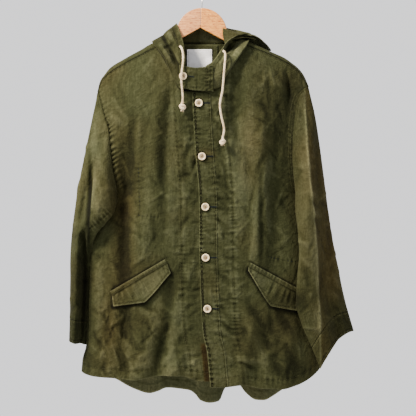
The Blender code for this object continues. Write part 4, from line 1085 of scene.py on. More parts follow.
def sew(name, runs, finish, slot="linen"):
    """One piece of many rows of stitches."""
    points, faces, count = [], [], 0
    for run in runs:
        run_points, run_faces = threads(*run[:2], **(run[2] if len(run) > 2 else {}))
        points.append(run_points)
        faces.append(run_faces + count)
        count += len(run_points)
    mesh = bpy.data.meshes.new(name)
    mesh.from_pydata(np.concatenate(points).tolist(), [], np.concatenate(faces).tolist())
    mesh.shade_smooth()
    add_piece(name, mesh, finish, slot)


# ---------------------------------------------------------------- the fronts

FACING_FROM_EDGE = {1: 76, -1: -40}     # the line that holds each front's facing
HEM_DEPTH = 20
POCKET_MARK = [(-139, 415), (-137, 470), (-135, 527)]       # an inner pocket's stitches
POCKET_FOOT = [(-146, 527), (-118, 532), (-90, 534)]
WAIST_MARK = [(153, 622), (182, 629), (216, 634)]

WRINKLES = {
    1: [f for f in FRONT_CREASES if f.x_top > 0]
    + strewn(3, 150, (30, 262), (180, 900), (26, 90), (2.8, 6.5), (0.5, 1.3), 5, 70)
    + strewn(5, 130, (30, 84), (262, 900), (14, 46), (2.6, 4.8), (0.7, 1.7), 55, 45),
    -1: [f for f in FRONT_CREASES if f.x_top <= 0]
    + strewn(11, 160, (-262, -20), (180, 880), (26, 90), (2.8, 6.5), (0.5, 1.3), -5, 70)
    + strewn(13, 110, (-52, 0), (262, 900), (14, 46), (2.6, 4.8), (0.7, 1.7), -50, 45)
    + strewn(15, 60, (-250, -60), (740, 890), (20, 60), (3, 6), (0.7, 1.8), 20, 70)
    + strewn(19, 34, (-216, -164), (690, 820), (14, 34), (2.2, 4), (0.7, 1.5), 0, 22),
}
PLACKET_WRINKLES = strewn(17, 80, (-16, 52), (262, 900), (16, 46), (2.6, 4.6), (0.6, 1.3), 60, 45)


def front_rise(side, x, drop):
    """Creases and seam tucks of one front, outward."""
    inward = x - front_edge_x(drop)
    from_side = np.abs(side_x(side, drop) - x)
    hung = drop - top_of(side, x, "drop")
    free = ease(from_side / 26) * ease(hung / 24)
    rise = crease_rise(WRINKLES[side], x, drop) * free
    rise += tucks(drop, np.abs(inward - FACING_FROM_EDGE[side]), 9.6, 1.3, 11, 0.4 + side)
    rise += tucks(x, np.abs(hem_drop(side, x) - HEM_DEPTH - drop), 12.5, 1.2, 9, 2.2 * side)
    above = drop < UNDERARM_DROP[side]
    armhole = tucks(drop + 0.5 * from_side, from_side + 2, 10.5, 3.4 if side < 0 else 1.0, 12, 3.0)
    rise += np.where(above, armhole, tucks(drop, from_side + 3, 15, 0.8, 9, 1.0))
    on_shoulder = ease((np.abs(x) - 104) / 10)
    rise += tucks(x, np.abs(hung - 5), 13, 0.9, 9, 0.7) * on_shoulder
    if side < 0:
        for mark in (POCKET_MARK, POCKET_FOOT):
            rise += tucks(*beside(mark, x, drop), 8.5, 1.1, 7, 1.3)
    else:
        rise += tucks(*beside(WAIST_MARK, x, drop), 9.0, 1.0, 6, 0.3)
    return rise * ease(hung / 6 + 0.2)


def placket_rise(x, drop):
    """Tucks of the placket's own seams, over those of the front."""
    inward = x - front_edge_x(drop)
    rise = tucks(drop, np.abs(inward - 5), 10, 1.5, 8, 0.2)
    rise += tucks(drop, np.abs(inward - 37.5), 11, 1.3, 8, 1.9)
    rise += crease_rise(PLACKET_WRINKLES, x, drop)
    for button_drop in BUTTON_DROPS:
        near = np.hypot((inward - 24) / 16, (drop - button_drop) / 6)
        rise += (
            0.7 * np.exp(-near ** 2)
            - 1.0 * np.exp(-((drop - button_drop) / 2.2) ** 2 - ((inward - 26) / 12) ** 2)
        )
    return rise


def front_surface(side, x, drop):
    """y of what shows of a front, its placket included."""
    y = wall_y("front", side, x, drop) - front_rise(side, x, drop)
    inward = x - front_edge_x(drop)
    on_band = (side > 0) & (inward > 0) & (inward < PLACKET_WIDTH + 0.5)
    return np.where(on_band, y - CLOTH - LAY_GAP - placket_rise(x, drop), y)


def on_front(side, line, count=160, lift=0.0):
    """World points and normals along a line of (x, drop) on a front's surface."""
    line = np.asarray(line, float)
    place = run_along(line)
    x, drop = sample(line, place, np.linspace(0, place[-1], count)).T
    y = front_surface(side, x, drop)
    slope_x = (front_surface(side, x + 0.8, drop) - front_surface(side, x - 0.8, drop)) / 1.6
    slope_z = -(front_surface(side, x, drop + 0.8) - front_surface(side, x, drop - 0.8)) / 1.6
    normal = unit(lay(slope_x, -np.ones_like(x), slope_z))
    return to_world(lay(x, y - lift, drop)), normal


def shade_of(rise, x, drop, edges):
    """Lightness and brownness: edges are rubbed pale, ridges lighter, partly faded and partly painted highlight,
    and troughs darker as painted shade.
    """
    light, brown = tone_of(x, drop)
    # troughs painted darker as shade, ridges lighter as part fading and part painted highlight
    wear_and_shade = 0.5 + np.clip(rise * 0.065, -0.17, 0.13) + light
    for edge in edges:
        wear_and_shade += 0.2 * bell(edge, 1.6)
    return wear_and_shade, brown


def make_front(side):
    word, grid = WORD[side], front_grid(side)
    x, drop = grid[..., 0], grid[..., 2]
    rise = front_rise(side, x, drop)
    inward = x - front_edge_x(drop)
    from_facing = np.abs(inward - FACING_FROM_EDGE[side])
    from_hem = hem_drop(side, x) - drop
    # rubbed lines beside the seams, with painted shade in the grooves at the facing's stitches and at the hem's
    light, brown = shade_of(rise, x, drop, [from_hem])
    light = light + 0.08 * bell(from_facing - 6, 4) - 0.05 * bell(from_facing, 1.8)
    light = light - 0.08 * bell(from_hem - HEM_DEPTH, 1.8)
    # painted shadow of the pocket flap on the front, below its free edge and beside its ends, and a painted shade
    # line just above its welt
    flap = FLAPS[word]
    for line, dark, reach in (
        ([flap.low_inner, flap.point, flap.low_outer], 0.5, 5), ([flap.seam_inner, flap.low_inner], 0.4, 4),
        ([flap.seam_outer, flap.low_outer], 0.3, 4),
    ):
        light = light - dark * bell(beside(line, x, drop - 2)[1], reach)
    above = [(flap.seam_inner[0], flap.seam_inner[1] - 12), (flap.seam_outer[0], flap.seam_outer[1] - 12)]
    light = light - 0.35 * bell(beside(above, x, drop)[1], 2.6)
    # painted shade along the shoulder seam, where the back's fold overhangs it, and along the armhole and side
    # seams beside the sleeve
    hung = drop - top_of(side, x, "drop")
    from_side = np.abs(side_x(side, drop) - x)
    light = light - 0.5 * bell(hung, 3) * ease((np.abs(x) - 100) / 8)
    light = light - np.where(drop < UNDERARM_DROP[side], 0.35, 0.2) * bell(from_side, 2.2)
    if side < 0:
        strip = np.exp(-(((inward + 4) / 7) ** 4)) * ease((drop - 812) / 14)
        light, brown = light - 0.28 * strip, brown + 1.4 * strip
    grid[..., 1] -= rise
    wall("linen_front_" + word, grid, "front_" + word, light=light, brown=brown)


def make_placket():
    drop = np.linspace(FRONT_EDGE[0].drop + 3, HEM[1][0].drop - 1.5, 330)[:, None]
    run = np.linspace(0.4, PLACKET_WIDTH, 26)[None, :]
    x = front_edge_x(drop) + run
    drop = np.broadcast_to(drop, x.shape)
    rise = placket_rise(x, drop)
    rolled = 1.4 * np.exp(-run / 1.4)
    y = wall_y("front", 1, x, drop) - front_rise(1, x, drop) - CLOTH - LAY_GAP - rise + rolled
    light, brown = shade_of(rise + 0.4 * front_rise(1, x, drop), x, drop, [run, PLACKET_WIDTH - run])
    # painted shade in the dips of the edge's puckers, and a painted shade line along the inner stitches
    light = light - 0.75 * bell(run - 5, 2.1) * ease(0.5 - rise)
    light = light + 0.03 - 0.12 * bell(run - 37.5, 1.9)
    # a ring of painted shadow round each button
    for button_drop in BUTTON_DROPS:
        ring = np.hypot(run - BUTTON_INSET, drop - button_drop)
        light = light - 0.4 * bell(ring - 9.5, 2.2)
    wall("linen_placket", lay(x, y, drop), "placket", light=light, brown=brown)


# ---------------------------------------------------------------- the back and sleeves

BACK_WRINKLES = (
    strewn(21, 150, (-260, 260), (180, 930), (40, 130), (5, 12), (0.5, 1.6), 0, 60)
    + strewn(22, 110, (-260, 260), (180, 930), (20, 60), (3.2, 6), (0.35, 0.9), 90, 60)
)


def make_back():
    grid = back_grid()
    x, drop = grid[..., 0], grid[..., 2]
    from_side = np.where(x < 0, x - side_x(-1, drop), side_x(1, drop) - x)
    low = read(BACK_HEM, x, "x", "drop")
    settled = ease((np.arange(grid.shape[0]) - WRAP_ROWS) / 24)[:, None]
    rise = crease_rise(BACK_WRINKLES, x, drop) * ease(from_side / 26) * settled
    rise += tucks(x, np.abs(low - HEM_DEPTH - drop), 12.5, 0.8, 9, 5.0)
    rise += tucks(drop, from_side + 3, 14, 0.6, 9, 2.0) * settled
    light, brown = shade_of(rise, x, drop * 0 - 900, [low - drop])
    # lighter from a drop of 870 mm downward, with a line of painted shade at the hem's stitches
    light = light + 0.2 * ease((drop - 870) / 30) - 0.1 * bell(low - drop - HEM_DEPTH, 1.6)
    return wall("linen_back", grid, "back", facing=(0, 1, 0), rise=rise, light=light, brown=brown)


PRESSED_LINE = [    # the left sleeve's ironed crease
    (238, 290), (242.6, 381.7), (246.2, 435.6), (255.2, 532), (260.5, 615), (264, 687),
    (267.7, 740), (271, 846),
]
FELLED_SEAM = [(-202, 521), (-214, 532), (-232, 548), (-249, 562)]      # the right sleeve's


def sleeve_rise(side, grid, normal):
    """Creases of a sleeve: those seen from the front by place, and strewn ones behind."""
    x, drop = grid[..., 0], grid[..., 2]
    before, behind = ease(-normal[..., 1] * 2.5), ease(normal[..., 1] * 2.5)
    low, high = (-300, -190) if side < 0 else (215, 350)
    fine = strewn(31 + side, 70, (low, high), (250, 850), (20, 60), (3, 6), (0.6, 1.5), 20 * side, 70)
    hidden = strewn(41 + side, 70, (low, high), (250, 850), (30, 90), (4, 9), (0.5, 1.4), 10, 60)
    rise = before * crease_rise(SLEEVE_CREASES[side] + fine, x, drop) + behind * crease_rise(hidden, x, drop)
    if side > 0:
        away = beside(PRESSED_LINE, x, drop)[1]
        rise += before * 2.2 * bell(away, 3.0)
    else:
        rise += before * tucks(*beside(FELLED_SEAM, x, drop), 8, 1.6, 8, 0.9)
    return rise


def press(grid, light, brown):
    """Marks the left sleeve's ironed crease: rubbed pale along it, with the outer side browner and a little
    darker, partly its own less faded colour and partly painted shade.
    """
    line = np.array(PRESSED_LINE)
    past = grid[..., 0] - np.interp(grid[..., 2], line[:, 1], line[:, 0])
    outer = ease(past / 5)
    return light + 0.03 * (1 - outer) - 0.05 * outer + 0.22 * bell(past, 2.2), brown + 0.3 * outer


def make_sleeve(side):
    word, grid = WORD[side], sleeve_grid(side)
    normal = outward(to_world(grid), True, None)[0]
    run, around = run_down(grid), around_rings(grid)
    fade = ease(run / 22) * ease((run[-1] - run) / 12)
    rise = sleeve_rise(side, grid, normal) * fade
    rise += tucks(around, run + 1.5, 10.5, 1.5 if side < 0 else 0.8, 12, 0.6) * ease(run / 4)
    rise += tucks(around, run[-1] - run + 1, 9, 1.4, 10, 1.4)
    light, brown = shade_of(rise, grid[..., 0], grid[..., 2], [])
    # painted shade lines at the cuff's seam and in the armhole seam
    light = light - 0.3 * bell(run[-1] - run, 2) - 0.25 * bell(run - 2, 2)
    if side > 0:
        light, brown = press(grid, light, brown)
    sleeve = wall("linen_sleeve_" + word, grid, "sleeve_" + word, closed=True,
                  rise=rise, light=light, brown=brown)
    band = through(np.array([sleeve_ring(ring, SLEEVE_POINTS) for ring in SLEEVES[side][1]]), CUFF_ROWS)
    around = around_rings(band)
    height = np.linspace(0, 1, CUFF_ROWS)[:, None] * CUFF_HEIGHT
    rise = tucks(around, height + 1, 9, 0.8, 10, 1.4) + tucks(around, 42 - height, 9.5, 0.5, 6, 2.4)
    rise += crease_rise(strewn(51 + side, 26, (0, 220), (0, CUFF_HEIGHT), (14, 40), (2.6, 5), (0.4, 1.0), 0, 60),
                        around, height)
    edges = [CUFF_HEIGHT - height + 0 * around, height + 0 * around]
    light, brown = shade_of(rise, band[..., 0], band[..., 2], edges)
    # a little darker overall, with a line of painted shade at the stitches 42 mm up
    light = light - 0.06 - 0.2 * bell(height - 42, 1.5)
    if side > 0:
        light, brown = press(band, light, brown)
    cuff = wall("linen_cuff_" + word, band, "cuff_" + word, closed=True, rise=rise, light=light, brown=brown)
    round_it = np.arange(SLEEVE_POINTS + 1) % SLEEVE_POINTS
    sew("stitches_sleeve_" + word, [
        line_on(sleeve, 5, round_it), line_on(sleeve, 8, round_it),
        line_on(cuff, 2, round_it), line_on(cuff, 26, round_it),
    ], SEAM_THREAD)


# ---------------------------------------------------------------- the hood

HOOD_CREASES = table(   # on the side that shows beside the neck
    Fold,
    (-97, 146, -62, 206, 3.0, -1.8), (-90, 140, -58, 194, 3.4, 2.0), (-78, 134, -62, 160, 4.0, 2.2),
    (-62, 160, -47, 192, 3.6, 2.2), (-104, 150, -74, 196, 2.6, 1.4), (-74, 108, -62, 134, 5.0, 1.4),
    (-60, 104, -54, 130, 4.0, -1.4), (60, 160, 76, 135, 5.0, -3.0), (76, 135, 94, 125, 5.0, -3.4),
    (94, 125, 114, 123, 5.0, -3.0), (54, 176, 76, 148, 4.0, 1.8), (52, 214, 66, 182, 4.0, -1.8),
    (70, 176, 88, 150, 4.5, 1.6), (46, 190, 60, 164, 3.0, 1.4),
)
HOOD_TUCK = [(-86, 120), (-78, 134), (-67, 153), (-57, 174), (-49, 191), (-42, 216)]


def make_hood_fold():
    """The near layer of the thrown-back hood, which lies over the hanger's left arm."""
    rows = [
        [(52, -9, 103), (68, -8, 107), (88, -5, 114), (110, -2, 122), (128, 2, 129)],
        [(52, -17, 120), (66, -19, 121), (84, -18, 121), (104, -14, 123), (126, -8, 128)],
        [(56, -30, 141), (65, -31, 134), (82, -28, 127.5), (101, -23, 124.5), (124, -12, 126)],
    ]
    grid = through(through(np.array(rows, float), 24).swapaxes(0, 1), 50).swapaxes(0, 1)
    x, drop = grid[..., 0], grid[..., 2]
    rise = crease_rise([Fold(54, 108, 100, 122, 4, 1.2), Fold(58, 124, 110, 124, 4, -1.2)], x, drop)
    wall("linen_hood_fold", grid, None, rise=rise, light=0.52 + 0 * x, brown=0.15 + 0 * x)


def make_hood():
    grid = hood_grid(HOOD_COLUMNS + 1, HOOD_ROWS)
    over = np.cumsum(np.linalg.norm(np.diff(grid, axis=1, prepend=grid[:, :1]), axis=2), axis=1)
    down = run_down(grid)
    to_edge = down[-1] - down
    neck = np.broadcast_to(over[0], over.shape)
    creases = strewn(61, 90, (0, neck.max()), (0, 240), (24, 80), (3.5, 7), (0.3, 0.9), 20, 60)
    fade = ease(down / 14) * ease(to_edge / 10)
    rise = crease_rise(creases, neck, down) * fade
    rise += 0.9 * tucks(neck, np.abs(to_edge - 15), 9.5, 0.45, 6, 1.1) + tucks(neck, to_edge - 3, 9, 0.35, 5, 0.2)
    rise += tucks(neck, down + 1, 10, 0.5, 8, 2.1) * ease(down / 4)
    normal = outward(to_world(grid), False, (0, -1, 0))[0]
    seen = ease(0.3 - normal[..., 1] * 4) * ease(down / 5)
    rise += 1.2 * crease_rise(HOOD_CREASES, grid[..., 0], grid[..., 2]) * seen
    # troughs painted darker as shade and ridges lighter as highlight; the face edge rubbed pale
    wear_and_shade = 0.54 + np.clip(rise * 0.09, -0.45, 0.14) + 0.2 * bell(to_edge, 2)
    tuck = seen * bell(beside(HOOD_TUCK, grid[..., 0], grid[..., 2])[1], 3.6)
    rise -= 4.5 * tuck
    # the +X half painted lighter as highlight; painted shade along the neckline seam and in the deep tuck
    wear_and_shade += np.where(grid[..., 0] > 0, 0.13, -0.02) - 0.5 * bell(down, 3.5) - 0.55 * tuck
    # painted shade along the casing's stitches 15 mm from the edge
    wear_and_shade -= 0.16 * bell(to_edge - 15, 1.5)
    half = round(HOOD_MIDDLE * HOOD_COLUMNS / (len(HOOD) - 1))
    runs = []
    for word, cut in (("right", slice(0, half + 1)), ("left", slice(half, None))):
        part = grid[:, cut]
        hood = wall("linen_hood_" + word, part, "hood_" + word, rise=rise[:, cut], light=wear_and_shade[:, cut])
        for away in (3.0, 16.0):
            row = np.abs(to_edge[:, cut] - away).argmin(axis=0)
            runs.append(line_on(hood, row, np.arange(part.shape[1])))
        runs.append(line_on(hood, slice(4, -2), 2 if word == "left" else -3))
    sew("stitches_hood", runs, SEAM_THREAD)


# ---------------------------------------------------------------- what lies on the fronts

def make_tab():
    """The tab that closes the throat, with its buttonhole and its double stitches."""
    columns, rows = 60, 44
    x = np.linspace(*THROAT_TAB["x"], columns)
    ends = np.linspace(THROAT_TAB["x"][0], THROAT_TAB["x"][1], 3)
    top, bottom = (smooth(x, ends, THROAT_TAB[word]) for word in ("drop_top", "drop_bottom"))
    share = np.linspace(0, 1, rows)[:, None]
    drop = top + (bottom - top) * share
    x = np.broadcast_to(x, drop.shape)
    bend = TAB_RISE * np.sin(math.pi * (x - x[0, 0]) / (x[0, -1] - x[0, 0]))
    creases = strewn(71, 22, (-46, 30), (192, 250), (14, 44), (2.4, 4.5), (0.3, 0.8), 80, 40)
    rise = crease_rise(creases, x, drop)
    edge = np.minimum(np.minimum(drop - top, bottom - drop), x - x[0, 0])
    rise += tucks(x + drop, np.abs(edge - 4), 8.5, 0.6, 5, 0.4)
    rise += tucks(drop, np.abs(x - 16), 8, 1.2, 5, 1.0) + tucks(drop, np.abs(x - 25), 9, 1.1, 5, 2.0)
    rise += tucks(drop, np.abs(x + 6), 9, 1.0, 6, 3.0)
    y = THROAT_TAB_Y - bend * (1 - 0.3 * share) - rise
    light, brown = shade_of(rise, x, drop, [edge])
    light = light - 0.1 * bell(x - 20, 7)
    tab = wall("linen_throat_tab", lay(x, y, drop), "throat_tab", light=light, brown=brown,
               thickness=TAB_THICKNESS)
    runs = [line_on(tab, 3, INNER), line_on(tab, -4, INNER), line_on(tab, INNER, 3)]
    for across_at in (14, 18, 25):
        at = int(np.abs(x[0] - across_at).argmin())
        runs.append(line_on(tab, INNER, at))
    sew("stitches_throat_tab", runs, SEAM_THREAD)
    return tab


def flap_lines(flap, columns):
    """The flap's seam line and its free edge, from the inner end to the outer one."""
    share = np.linspace(0, 1, columns)[:, None]
    seam = np.array(flap.seam_inner) + (np.array(flap.seam_outer) - flap.seam_inner) * share
    corners = np.array([flap.low_inner, flap.point, flap.low_outer], float)
    length = np.linalg.norm(np.diff(corners, axis=0), axis=1)
    at = np.array([0, length[0] / length.sum(), 1])
    free = np.stack([smooth(share[:, 0], at, corners[:, k]) * 0.25
                     + np.interp(share[:, 0], at, corners[:, k]) * 0.75 for k in range(2)], axis=1)
    return seam, free


def make_pocket(side):
    word, rows, columns = WORD[side], 40, 90
    seam, free = flap_lines(FLAPS[word], columns)
    share = np.linspace(0, 1, rows)[:, None, None]
    line = seam + (free - seam) * share
    x, drop = line[..., 0], line[..., 1]
    share = share[..., 0]
    across_share = np.linspace(0, 1, columns)[None, :]
    length = np.linalg.norm(seam[-1] - seam[0])
    reach = np.linalg.norm(free - seam, axis=1)[None, :]
    place = np.broadcast_to(across_share * length, x.shape)
    # the stitched-down pleats of the flap: fine wrinkles that run down from its seam
    wave = 1.1 * np.sin(place / 2.3 + 1.3 * np.sin(place / 9 + side))
    wave = wave * np.sin(math.pi * np.clip(share * 1.15, 0, 1)) ** 0.7
    rise = wave * (0.6 + 0.4 * np.sin(place / 17 + 2)) + 1.4 * np.sin(place / 19 + side) * share
    edge = np.minimum(np.minimum(place, length - place), (1 - share) * reach)
    rise += tucks(place + share * reach, np.abs(edge - 4.5), 9, 0.45, 5, 0.8)
    stand = FLAP_START + FLAP_STANDOFF * share ** 1.3
    y = front_surface(side, x, drop) - stand - rise * ease(share * 10)
    light, brown = shade_of(rise, x, drop, [edge])
    # a little lighter overall, with painted shade along the stitches 4.5 mm in and painted shadow along the seam
    # under the welt
    light = light + 0.12 - 0.2 * bell(edge - 4.5, 1.4) - 0.45 * bell(share * reach, 2.5)
    flap = wall("linen_pocket_flap_" + word, lay(x, y, drop), "pocket_flap_" + word,
                light=light, brown=brown)
    row = np.array([int(rows * (1 - 4.5 / r)) for r in np.maximum(reach[0], 12)])
    low = np.arange(3, columns - 3)
    runs = [line_on(flap, row[low], low)]
    runs += [line_on(flap, slice(2, row[at]), at) for at in (3, columns - 4)]

    run = seam[-1] - seam[0]
    up = np.array([-run[1], run[0]]) / np.linalg.norm(run)
    up *= -np.sign(up[1])
    height = np.linspace(WELT_WIDTH, -0.6, 14)[:, None, None]
    line = seam + up * height
    x, drop, height = line[..., 0], line[..., 1], height[..., 0]
    bulge = (WELT_ROUND + 0.8) * np.sin(math.pi * np.clip(height / WELT_WIDTH, 0, 1))
    place = np.broadcast_to(across_share * length, x.shape)
    rise = tucks(place, np.abs(height - 6.5), 8, 0.6, 5, 0.5) + tucks(place, np.abs(height - 1.5), 7, 0.4, 4, 1.5)
    y = front_surface(side, x, drop) - WELT_STANDOFF - bulge - rise
    light, brown = shade_of(rise, x, drop, [WELT_WIDTH - height])
    # the welt painted lighter, as highlight
    welt = wall("linen_pocket_welt_" + word, lay(x, y, drop), "pocket_welt_" + word,
                light=light + 0.1, brown=brown)
    runs += [line_on(welt, at, INNER) for at in (3, 10)]
    sew("stitches_pocket_" + word, runs, SEAM_THREAD)


def make_inside_neck():
    """The patch inside the back neck, and its blank label."""
    runs = []
    for name, node, size, lift, finish, slot, thickness in (
        ("linen_neck_facing", "neck_facing", NECK_FACING, 2 * CLOTH + LAY_GAP, LINEN, "linen",
         FACING_THICKNESS),
        ("label_tape", "label", LABEL, 2 * (CLOTH + LAY_GAP) + FACING_THICKNESS, TAPE, "label_cotton",
         LABEL_THICKNESS),
    ):
        x, drop = np.meshgrid(np.linspace(*size["x"], 36), np.linspace(*size["drop"], 32))
        y = wall_y("back", -1, np.minimum(x, BACK_MIDDLE), drop)
        y = np.where(x > BACK_MIDDLE, wall_y("back", 1, np.maximum(x, BACK_MIDDLE), drop), y)
        settled = ease((drop - BACK_NECK_DROP - BACK_TURN_DROP) / BACK_SETTLES)
        y = y * settled + (1 - settled) * np.maximum(BACK_NECK_DEPTH, y)
        creases = strewn(81 + len(name), 14, size["x"], size["drop"], (20, 50), (3, 6), (0.2, 0.5), 60, 50)
        rise = crease_rise(creases, x, drop)
        edge = np.minimum(np.minimum(x - x[0, 0], x[0, -1] - x), np.minimum(drop - drop[0], drop[-1] - drop))
        rise += 0.4 * tucks(x + drop, np.abs(edge - 3), 8, 0.4, 5, 0.2)
        light, brown = shade_of(rise, x, drop, [edge])
        sheet = wall(name, lay(x, y - lift - rise, drop), node, light=light, brown=brown,
                     finish=finish, slot=slot, thickness=thickness)
        runs += [line_on(sheet, 2, INNER), line_on(sheet, -3, INNER)]
        runs += [line_on(sheet, INNER, 2), line_on(sheet, INNER, -3)]
    sew("stitches_inside_neck", runs, SEAM_THREAD)


def sew_fronts():
    """The rows of stitches on both fronts, and the buttonholes."""
    drop = np.linspace(FRONT_EDGE[0].drop + 5, 906, 60)
    edge = front_edge_x(drop)
    lines = [(1, edge + 5), (1, edge + 35.5), (1, edge + 38.5), (1, edge + FACING_FROM_EDGE[1]),
             (-1, edge + FACING_FROM_EDGE[-1]), (-1, edge + FACING_FROM_EDGE[-1] - 3)]
    runs = []
    for side, x in lines:
        low = hem_drop(side, x) - 6
        keep = drop < low
        if abs(x[0] - edge[0]) > 39:
            keep &= drop > (262 if side > 0 else 256)
        runs.append(on_front(side, lay(x[keep], drop[keep]), 500))
    for side in (-1, 1):
        start = front_edge_x(900) + (42 if side > 0 else 0)
        x = np.linspace(start, side * 264, 60)
        runs.append(on_front(side, lay(x, hem_drop(side, x) - HEM_DEPTH), 260))
        low = np.linspace(UNDERARM_DROP[side] + 20, 866, 60)
        for inset in (3, 9):
            x = side_x(side, low) - side * inset
            runs.append(on_front(side, lay(x, low), 300))
        high = np.linspace(tip_drop(side) + 16, UNDERARM_DROP[side] - 2, 60)
        for inset in (2.5, 8.5):
            x = side_x(side, high) - side * inset
            runs.append(on_front(side, lay(x, high), 220))
        x = np.linspace(side * 110, side * 226, 40)
        for below in (4, 9.5):
            runs.append(on_front(side, lay(x, top_of(side, x, "drop") + below), 120))
    sew("stitches_fronts", runs, SEAM_THREAD)

    holes = []
    bold = {"pitch": 8.5, "share": 0.45, "radius": 0.75}
    for side, mark in ((-1, POCKET_MARK), (-1, POCKET_FOOT), (1, WAIST_MARK)):
        holes.append((*on_front(side, mark, 80), bold))
    for button_drop in BUTTON_DROPS:
        x = float(front_edge_x(button_drop))
        for shift in (-0.9, 0.9):
            line = np.array([(x + 15, button_drop + shift), (x + 39 + 0.4 * shift, button_drop + shift)])
            points, normals = on_front(1, line, 40, lift=0.1)
            holes.append((points, normals, {"pitch": 1.1, "share": 1.25, "radius": 0.85}))
        bar = np.array([(x + 39, button_drop - 1.8), (x + 39, button_drop + 1.8)])
        points, normals = on_front(1, bar, 10, lift=0.2)
        holes.append((points, normals, {"pitch": 1.1, "share": 1.25, "radius": 0.7}))
    return holes


# ---------------------------------------------------------------- buttons

def cylinder(radius, depth, place, sides=48):
    """A cylinder that faces the front, at a place in millimetres (x, y, drop)."""
    bpy.ops.mesh.primitive_cylinder_add(
        vertices=sides, radius=radius * MM, depth=depth * MM, location=to_world(place),
        rotation=(math.pi / 2, 0, 0),
    )
    return bpy.context.object


def select_front_face(obj):
    bpy.ops.object.mode_set(mode="EDIT")
    bpy.ops.mesh.select_mode(type="FACE")
    bpy.ops.mesh.select_all(action="DESELECT")
    edit = bmesh.from_edit_mesh(obj.data)
    edit.faces.ensure_lookup_table()
    edit.normal_update()
    front = max(edit.faces, key=lambda face: (len(face.verts) > 4, face.normal.z))
    front.select_set(True)
    bmesh.update_edit_mesh(obj.data)


def settle(obj):
    """Moves an object's place into its mesh and rounds its shading."""
    bpy.ops.object.transform_apply(location=True, rotation=True, scale=True)
    bpy.ops.object.shade_smooth_by_angle(angle=math.radians(35))
    obj.select_set(False)


def model_button():
    """A four-hole button with a raised rim and a dished face, lying on y = 0."""
    button = cylinder(BUTTON_DIAMETER / 2, BUTTON_THICKNESS * 0.72, (0, -BUTTON_THICKNESS * 0.36, 0))
    select_front_face(button)
    bpy.ops.mesh.inset(thickness=0.7 * MM, depth=0.75 * MM)
    bpy.ops.mesh.inset(thickness=1.5 * MM, depth=0.15 * MM)
    bpy.ops.mesh.inset(thickness=1.1 * MM, depth=-0.9 * MM)
    bpy.ops.mesh.inset(thickness=2.4 * MM, depth=-0.15 * MM)
    bpy.ops.object.mode_set(mode="OBJECT")
    round_off = button.modifiers.new("edges", "BEVEL")
    round_off.width = 0.3 * MM
    round_off.segments = 2
    round_off.limit_method = "ANGLE"
    bpy.ops.object.modifier_apply(modifier="edges")
    drills = []
    for x in (-1.5, 1.5):
        for drop in (-1.5, 1.5):
            drills.append(cylinder(0.75, 12, (x, 0, drop), 16))
    for drill in drills:
        drill.select_set(True)
    bpy.context.view_layer.objects.active = drills[0]
    bpy.ops.object.join()
    drill = bpy.context.object
    drill.select_set(False)
    button.select_set(True)
    bpy.context.view_layer.objects.active = button
    holes = button.modifiers.new("holes", "BOOLEAN")
    holes.object = drill
    bpy.ops.object.modifier_apply(modifier="holes")
    bpy.data.objects.remove(drill)
    settle(button)
    dish = button.data.attributes.new("dish", "FLOAT", "POINT")
    for vertex, value in zip(button.data.vertices, dish.data):
        away = math.hypot(vertex.co.x, vertex.co.z) / MM
        value.value = 1.0 if away < BUTTON_DIAMETER / 2 - 3.2 else 0.0
    return button


def button_threads(place, turn):
    """Points and normals of the thread between the button's holes."""
    x, y, drop = place
    runs = []
    for shift in (-1.5, 1.5):
        for nudge in (-0.3, 0.0, 0.3):
            a, b = (-1.7, shift + nudge), (1.7, shift + nudge)
            if turn:
                a, b = a[::-1], b[::-1]
            line = [(x + a[0], y - BUTTON_THICKNESS * 0.72 - 0.2, drop + a[1]),
                    (x + b[0], y - BUTTON_THICKNESS * 0.72 - 0.2, drop + b[1])]
            runs.append((to_world(line), np.array([(0, -1, 0), (0, -1, 0)], float),
                         {"pitch": 3.3, "share": 1.0, "radius": 0.3}))
    return runs


def make_buttons(tab_points):
    pattern = model_button()
    spots = []
    for n, drop in enumerate(BUTTON_DROPS):
        x = float(front_edge_x(drop)) + BUTTON_INSET
        reach = BUTTON_DIAMETER / 2 * np.array([-0.9, 0, 0.9])
        near = front_surface(1, x + reach[:, None] + 0 * reach, drop + reach[None, :] + 0 * reach[:, None]).min()
        spots.append((f"button_{n + 1}", (x, near - 0.25, drop), n % 2 == 1))
    x, drop = THROAT_BUTTON["x"], THROAT_BUTTON["drop"]
    close = np.hypot(tab_points[..., 0] / MM - x, -tab_points[..., 2] / MM - drop) < BUTTON_DIAMETER / 2
    spots.append(("button_throat", (x, tab_points[close][:, 1].min() / MM - 0.25, drop), False))
    runs = []
    for n, (name, place, turn) in enumerate(spots):
        mesh = pattern.data.copy()
        tilt = Matrix.Rotation(math.radians(7 * math.sin(2.3 * n + 1)), 4, "Y")
        lean = Matrix.Rotation(math.radians(2.5 * math.sin(1.7 * n)), 4, "X")
        mesh.transform(Matrix.Translation(Vector(to_world(place))) @ lean @ tilt)
        add_piece("resin_" + name, mesh, RESIN, "button_resin", name)
        runs += button_threads(place, turn)
    bpy.data.objects.remove(pattern)
    sew("button_threads", runs, BUTTON_THREAD, "cord_cotton")


# ---------------------------------------------------------------- the drawcord

CORD_LAY = 11.0         # length of one turn of the cord's three strands
STRAND_TURN = 1.22      # how far a strand runs from the cord's middle
STRAND_RADIUS = 1.28


